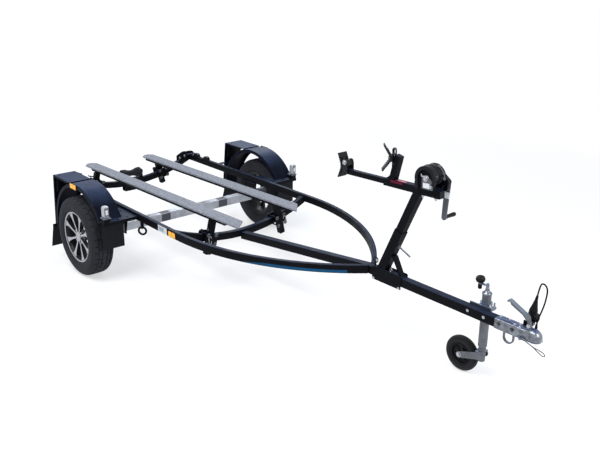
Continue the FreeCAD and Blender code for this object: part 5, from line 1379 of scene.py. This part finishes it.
@dataclass
class Winch:
    """The hand winch: side plates, covers, drum with its rope, crank and grip."""

    drum: tuple[float, float] = (2349.0, 1091.0)
    shaft: tuple[float, float] = (2400.0, 1044.0)
    radius: float = 64.0
    rope: float = 2.1
    flat: float = 0.99
    broad: float = 2000.0

    def plates(self) -> None:
        """The painted side plates with rolled rims, and the grey inner plate with a blank label and the pawl."""
        dress(FRAME_PAINT, "winch_frame")
        x, z = self.drum
        add_on("winch_near_rim", "winch_frame", WINCH_BLACK, HEAD,
               band(self.drum, -50, -38, self.radius - 17, self.radius + 3, -30, 206, 60, 2.0),
               block((x - 66, -50, 1034), (x - 44, -38, 1070), 2.0))
        grey = pairs(-22, -55, 47, -55, 51, -30, 44, -14, 30, 2, 12, 12, -14, 10, -24, -4)
        add_on("winch_side_plate", "winch_frame", GREY_PAINT, HEAD, plate(grey, -43.2, 3.4, 1.2, at=self.drum))
        add_on("winch_label_blank", "winch_frame", LABEL, HEAD,
               block((x - 14, -44, z - 48), (x + 27, -43.1, z - 22), 0.3))
        pawl = pairs(-30, 20, -24, 6, 14, 12, 20, 4, 24, 10, 16, 20, -20, 14, -25, 24)
        add_on("winch_pawl", "winch_frame", ZINC, HEAD, plate(pawl, -46.5, 3, 0.8, at=self.drum),
               hex_bolt((x, -43.2, z), RIGHT, 9.5, 15.0), hex_bolt((x + 34, -43.2, z - 38), RIGHT, 6.0))

    def covers(self) -> None:
        """The band over the drum and the gears' cover, with a bright ratchet lever between them."""
        x, z = self.drum
        inner = self.radius + 0.4
        outline = pairs(2296, 1036, 2284, 1062, 2282, 1095, 2292, 1125, 2308, 1144, 2328, 1153, 2350, 1151, 2372, 1136,
                        2394, 1108, 2427, 1083, 2433, 1074, 2426, 1030, 2418, 1022, 2372, 1024)
        far = [(px + (2352 - px) * 0.16, pz + (1085 - pz) * 0.16) for px, pz in outline]
        stand_in("winch_covers_moulded", "winch_covers", WINCH_BLACK, HEAD,
                 band(self.drum, -38, 40, inner, self.radius + 3, 22, 183, 56, 0.8),
                 *(band(self.drum, y, y + 3, inner, self.radius + 5.5, 22, 183, 56, 0.9) for y in (-10.5, 33.5)),
                 plate(outline, 40, 26, 4.5, 4), plate(far, 65.5, 4.5, 2.0, 3))
        lever = [band(self.drum, 13, 21, reach, reach + 3, end, end + 18, 8, 0.7)
                 for end, reach in ((40, 69.5), (22, 70.5), (4, 71.5))]
        for degrees, size in ((60, 8.5), (24, 6.5), (2, 8.5)):
            out = Vector((math.cos(math.radians(degrees)), 0.0, math.sin(math.radians(degrees))))
            lever.append(lathe(pairs(0, 8.5, size * 0.7, 8, size, 5.5, size, 0, 0, 0), Vector((x, 17, z)) + out * 68,
                               out, 24))
        add_on("winch_ratchet_lever", "winch_covers", GREY_STEEL, HEAD, *lever)
        add_on("winch_cover_screws", "winch_covers", ZINC, HEAD,
               bolts(5.0, LEFT, (x - 45, 70, z + 18), (x + 6, 70, z + 36), (x - 20, 70, z - 36)))

    def spool(self) -> None:
        """The drum with turns of steel rope on it."""
        dress(GREY_PAINT, "winch_drum")
        x, z = self.drum
        add_on("winch_rope", "winch_drum", STEEL_ROPE, HEAD, *(
            ring(reach, self.rope, (x, start + step * 4.4, z), LEFT, 40)
            for reach, start, turns in ((22.5, -29.5, 14), (27.0, -27.3, 13)) for step in range(turns)))

    def crank(self) -> None:
        """The pressed crank arm with turned-in edges, its blank plate, hub nut and rounded grip."""
        x, z = self.shaft
        place, foot, near = HEAD @ about((x, 0.0, z), 4.0), z - 176, 72
        arm = plate(belt((x, z, 18), (x, foot, 15), 16), near, 8, 1.2)
        for way in (-1, 1):
            faces = [face for face in arm.faces if face.normal.y * way > self.flat and face.calc_area() > self.broad]
            bmesh.ops.inset_region(arm, faces=faces, thickness=3.0)
            bmesh.ops.translate(arm, vec=(0, -3 * way, 0), verts=list({vert for face in faces for vert in face.verts}))
        stand_in("crank_arm_pressed", "winch_crank", GREY_PAINT, place, arm)
        add_on("crank_pins", "winch_crank", ZINC, place, rod((x, 39, z), (x, 83.5, z), 8.0, 0.8),
               hex_bolt((x, 79.5, z), LEFT, 9.5, 14.5), rod((x, near + 4, foot), (x, 160, foot), 5.0, 0.5),
               lathe(pairs(0, 71.5, 13, 71.5, 16, 70.5, 16.5, 69, 16.5, 66, 0, 66), (x, 0, z), LEFT, 32))
        add_on("crank_plate_blank", "winch_crank", LABEL, place,
               block((x - 20, near - 1.2, z - 68), (x + 22, near + 1.2, z - 34), 0.5),
               block((x + 19.5, near + 0.4, z - 68), (x + 22, near + 7.6, z - 34), 0.5))
        grip = pairs(5.1, 80.8, 10, 80.8, 11.2, 82.5, 11.4, 90, 10.4, 100, 10.3, 115, 11.2, 135, 11.9, 152, 11.8, 160,
                     10.5, 165.5, 7.5, 168.5, 0, 169.8, 0, 164.5, 5.1, 164.5)
        stand_in("crank_grip_moulded", "crank_grip", PLASTIC, place, lathe(grip, (x, 0, foot), LEFT, 40))

    def build(self) -> None:
        """Makes the whole winch."""
        for part in (self.plates, self.covers, self.spool, self.crank):
            part()


# ---- jockey wheel ----
@dataclass
class Jockey:
    """The jockey wheel on its telescopic tube, beside the drawbar."""

    x: float = 2703.0
    y: float = 77.0
    trail: float = 121.0
    height: float = 100.0
    clamp_z: float = 405.4
    arm_z: float = 528.0

    @property
    def tube(self) -> Point:
        """The tube's axis at the floor."""
        return self.x, self.y, 0.0

    @property
    def axle(self) -> Point:
        """The wheel's middle."""
        return self.x - self.trail, self.y, self.height

    def wheel(self) -> None:
        """The solid rubber tyre on its pressed rim."""
        tyre = pairs(58.2, 15, 64, 17, 68, 20.5, 72, 21.6, 76, 20.8, 78.5, 21.4, 85, 21, 90.5, 19, 94.5, 15.8,
                     97.5, 11.2, 99.2, 6)
        stand_in("jockey_tyre_moulded", "jockey_tyre", RUBBER, LEVEL,
                 lathe(mirrored(tyre, (100.0, 0.0)), self.axle, LEFT, 96))
        rim = pairs(8.1, -24, 15, -24, 17.5, -22.5, 18.5, -12, 23, -7, 42, -5, 49, -8, 51.5, -17, 54, -20, 58.5, -20.5,
                    60, -18)
        ribs = [moved(both(block((-2.2, 4, 18), (2.2, 10.5, 50), 0.8)), about(ORIGIN, number * 60 + 15))
                for number in range(6)]
        stand_in("jockey_rim_pressed", "jockey_rim", PLASTIC, LEVEL, lathe(mirrored(rim), self.axle, LEFT, 72),
                 moved(joined(*ribs), Matrix.Translation(self.axle)))

    def tubes(self) -> None:
        """The outer and inner tubes, and the cap on top with its folding handle."""
        outer = pairs(21, 190.5, 23.2, 190, 24, 191.2, 24, 480, 23.6, 481.5, 23.6, 483.8, 21, 483.8)
        stand_in("jockey_outer_tube_drawn", "jockey_outer_tube", GALVANISED, LEVEL, lathe(outer, self.tube, UP))
        dress(GALVANISED, "jockey_inner_tube")
        cap = pairs(0, 484.2, 24, 484.2, 26, 486, 26.2, 490.5, 24.5, 494, 19, 498.5, 13.5, 502, 11.5, 506.5, 10.5, 516,
                    9.5, 520, 8, 521.5, 7.5, 540, 6.2, 544.5, 0, 545.5)
        outline = pairs(-55, -6, -51, -9, 6, -9, 9, 0, 6, 9, -51, 9, -55, 6)
        arm = prism([(self.x + x, self.y + y, self.arm_z) for x, y in outline], (0, 0, 6), 1.2)
        stand_in("jockey_cap_pressed", "jockey_cap", BRIGHT_ZINC, LEVEL, lathe(cap, self.tube, UP), arm)
        knob = pairs(0, 0, 8.5, 0, 10.8, 3, 11, 24, 10, 26.5, 5.4, 26.8, 5.4, 33.5, 11, 34, 18.5, 37.5, 23.2, 43,
                     25, 50, 24.8, 56, 22.5, 62.5, 18, 67.5, 12, 70.5, 6, 71.5, 0, 71.7)
        stand_in("jockey_knob_moulded", "jockey_knob", PLASTIC, LEVEL,
                 lathe(knob, (self.x - 46, self.y, self.arm_z - 27), UP, 40))

    def clamp(self) -> None:
        """The split collar with its bolts and closing handle."""
        soften("jockey_clamp", BRIGHT_ZINC, 1.8)
        x, y, z = self.x, self.y, self.clamp_z
        add_on("jockey_clamp_bolts", "jockey_clamp", ZINC, LEVEL,
               bolts(8.0, LEFT, *((x + across, 33, z + up) for across in (-50, 50) for up in (-18, 20))),
               rod((x + 28, y + 34, z - 14), (x + 28, y + 34, z + 30), 5.5, 1.6),
               hex_bolt((x + 30.5, y - 12, z + 22), FORE, 7.0))

    def fork(self) -> None:
        """The fork: two cheeks under a crown, the swivel's sleeve, the axle and its nuts."""
        (x, y, z), out = self.axle, 31
        cheek = belt((self.x, 139.5, 20.5), (x, z, 17.5), 14)
        stand_in("jockey_fork_welded", "jockey_fork", GALVANISED, LEVEL, plate(cheek, y - out, 5, 1.1),
                 plate(cheek, y + out - 5, 5, 1.1),
                 block((self.x - 21, y - out + 1, 158), (self.x + 19, y + out - 1, 163), 1.1),
                 lathe(pairs(13.6, 158, 19.5, 158, 19.5, 107, 18, 104, 13.6, 104), self.tube, UP, 36),
                 rod((x, y - out - 5, z), (x, y + out + 5, z), 8.0, 0.8))
        add_on("jockey_axle_nuts", "jockey_fork", ZINC, LEVEL,
               *(hex_bolt((x, y + sign * out, z), (0, sign, 0), 9.5, 14.5) for sign in (-1, 1)))

    def build(self) -> None:
        """Makes the whole jockey wheel."""
        for part in (self.wheel, self.tubes, self.clamp, self.fork):
            part()


# ---- coupling, plug and hook ----
@dataclass
class Nose:
    """The coupling with its handle and safety ring, the parked plug and the breakaway cable's loop."""

    top: float = 494.0
    wall: float = 3.4

    def coupling(self) -> None:
        """The bolts, pressed panel, domes and pivots of the coupling's body."""
        add_on("coupling_bolts", "coupling_body", DARK_STEEL, CHASSIS,
               twins(7.0, LEFT, (2846, 29, 470), (2922, 29, 470)))
        dome = pairs(0, 5.2, 4, 4.9, 6.5, 3.4, 7.8, 0, 0, 0)
        panel = pairs(2836, -16, 2905, -16, 2915, -10, 2915, 10, 2905, 16, 2836, 16)
        add_on("coupling_rivets", "coupling_body", [ZINC, PRESSED_ZINC], CHASSIS,
               painted(prism([(x, y, self.top) for x, y in panel], (0, 0, 1.6), 0.7), 1),
               *(lathe(dome, (x, y, self.top), UP, 24)
                 for x, y in pairs(2836, 6, 2884, 12, 2926, -12, 2944, 10, 2958, -17)),
               twins(6.5, LEFT, (2998, 16.5, self.top + 20)))

    def shell(self) -> None:
        """The pressed shell: a channel that swells into a low rounded head with a turned-out edge."""
        rings = []
        for x, half, low, high, power, lip in (
                (2822, 29, 440, 494, 0.22, 0), (2930, 29, 440, 494, 0.22, 0), (2950, 29, 440, 494, 0.28, 0),
                (2964, 28, 443, 493, 0.4, 0.8), (2978, 28, 447, 493, 0.55, 2), (2992, 29.5, 447, 496, 0.65, 3),
                (3006, 32, 447, 500, 0.72, 3), (3020, 34.5, 447, 502, 0.76, 3), (3034, 35, 447, 501, 0.78, 3),
                (3046, 32.5, 447, 496, 0.8, 3), (3055, 27, 447, 488, 0.82, 3), (3061.5, 19, 447, 478, 0.85, 3),
                (3065, 11, 447, 468, 0.9, 3), (3066.5, 4.5, 447, 460, 0.95, 2.5)):
            edge = pairs(half + lip, low, half + lip, low + 2.8)
            inner = self.arch(max(0.8, half - self.wall), low, max(low + 4, high - self.wall), power)
            section = (edge + self.arch(half, low + 3, high, power) + [(-y, z) for y, z in reversed(edge)]
                       + inner[::-1])
            rings.append([(x, y, z) for y, z in section])
        pimples = [moved(lathe(pairs(0, 1.6, 3.5, 1.2, 4.8, 0, 0, 0), ORIGIN, UP, 20),
                         Matrix.Translation((3000, y, 497.5)) @ Matrix.Diagonal((3.2, 1, 2, 1))) for y in (-13, 13)]
        stand_in("coupling_shell", "coupling_body", PRESSED_ZINC, CHASSIS, skin(rings),
                 block((2968, -44, 441), (2982, -26, 453), 1.5), *pimples)

    def arch(self, half: float, low: float, high: float, power: float) -> Pairs:
        """A rounded arch from one side to the other; a low power makes it boxy."""
        return [(half * math.copysign(abs(u) ** power, u), low + (high - low) * abs(v) ** power)
                for u, v in arc((0, 0), 1.0, 0, 180, 18)]

    def handle(self) -> None:
        """The latch handle: a folded bar with a rolled end, on a narrow neck."""
        bar = pairs(-36, 50, -45, 61, -56, 73, -151, 117.5, -157, 117, -160.5, 112, -160, 106, -156, 103, -153, 106,
                    -150, 109, -70, 70, -58, 59, -50, 45)
        neck = pairs(-24, 6, -28, 26, -38, 56, -54, 56, -40, 28, -40, 6)
        web = pairs(-40, 56, -52, 70.5, -140, 104.5, -138, 98, -70, 68, -50, 51)
        stand_in("coupling_handle_folded", "coupling_handle", GALVANISED, CHASSIS, *(
            plate(outline, low, depth, bevel, at=(3030, 490)) for outline, low, depth, bevel in (
                (bar, -14, 28, 1.3), (neck, -9, 18, 1.3), (web, -15.5, 2, 0.6), (web, 13.5, 2, 0.6))))

    def hook(self) -> bpy.types.Object:
        """Bends the long wire loop that clips the breakaway cable to the car, on its crimped sleeve.

        Returns:
            The loop's object.
        """
        end = Vector((3047.0, -40.0, 433.5))
        along = Vector((23.0, -1.0, -6.5)).normalized()
        across = Vector((-along.z, 0.0, along.x)).normalized()
        normal = along.cross(across)
        half = pairs(9, 0.8, 18, 3, 34, 6.2, 50, 8.4, 58, 8.6, 64, 7.2, 68.5, 4.2)
        path = [end + along * reach + across * off for reach, off in mirrored(half, (70.0, 0.0))]
        stations = []
        for place, before, after in zip(path, path[:1] + path, path[1:] + path[-1:]):
            stations.append((place, normal, (after - before).normalized().cross(normal)))
        return stand_in("breakaway_loop", "breakaway_hook", STEEL_ROPE, CHASSIS,
                        sweep(arc((0, 0), 2.4, 0, 360, 8)[:-1], stations),
                        rod(end - along, end + along * 14, 3.6, 0.8, 16))

    def plug(self) -> bpy.types.Object:
        """Makes the connector: a ribbed barrel, a taper and a stepped strain relief.

        Returns:
            The connector's object.
        """
        barrel = pairs(0, -12, 16.8, -12, 18.5, -10.5, 18.5, 15, 20.5, 16)
        for low in (20 + rib * 7.8 for rib in range(5)):
            barrel += pairs(21, low, 21, low + 5, 19.6, low + 5.6, 19.6, low + 7.2)
        barrel += pairs(20.8, 60.5, 19.8, 65, 16, 78, 12.5, 94, 10.8, 104, 10.4, 107.5)
        for low, size in ((108 + rib * 6.6, 8.6 - rib * 0.55) for rib in range(5)):
            barrel += pairs(size, low, size, low + 4, size - 1.6, low + 4.4, size - 1.6, low + 6.2)
        return stand_in("plug_moulded", "plug", PLASTIC, CHASSIS @ PLUG_TURN,
                        lathe(barrel + pairs(5.2, 142.5, 0, 143), PLUG_FOOT, UP))

    def holder(self) -> None:
        """The parking cup with its sprung cap and the cable's gland."""
        soften("plug_holder", PLASTIC, 1.2)
        x, y, z = PLUG_FOOT
        cap = pairs(0, 6, 15, 6, 21.5, 4, 22.5, 1, 22.5, -2, 0, -2)
        add_on("plug_holder_cap", "plug_holder", PLASTIC, CHASSIS,
               lathe(cap, (x + 27, y + 4, z + 26), (1, 0, 0.25), 36),
               block((x + 18, y - 7, z + 4), (x + 29, y + 15, z + 12), 2.0))
        gland = pairs(0, 0, 8.2, 0, 8.5, 4, 7.2, 10, 7, 16, 5.8, 24, 5.6, 29, 0, 29)
        add_on("cable_strain_relief", "plug_holder", PLASTIC, CHASSIS, lathe(gland, (3004, 47.5, 474), UP, 28))

    def build(self) -> None:
        """Makes the coupling and what is parked on it."""
        self.shell()
        self.handle()
        soften("safety_ring", GALVANISED, 1.6)
        self.coupling()
        self.holder()


# ---- main ----
def main() -> None:
    """Builds the studio and every piece in order."""
    logging.basicConfig(level=logging.INFO, format="%(message)s")
    FRAME.update(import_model())
    Studio().build()
    nose = Nose()
    Cords().build(nose.plug(), nose.hook())
    Chassis().build()
    for side in Side:
        RoadWheel(side).build()
    axle()
    for assembly in (Mudguards(), Bunks(), Mast(), Winch(), Jockey(), nose):
        assembly.build()


if __name__ == "__main__":
    main()
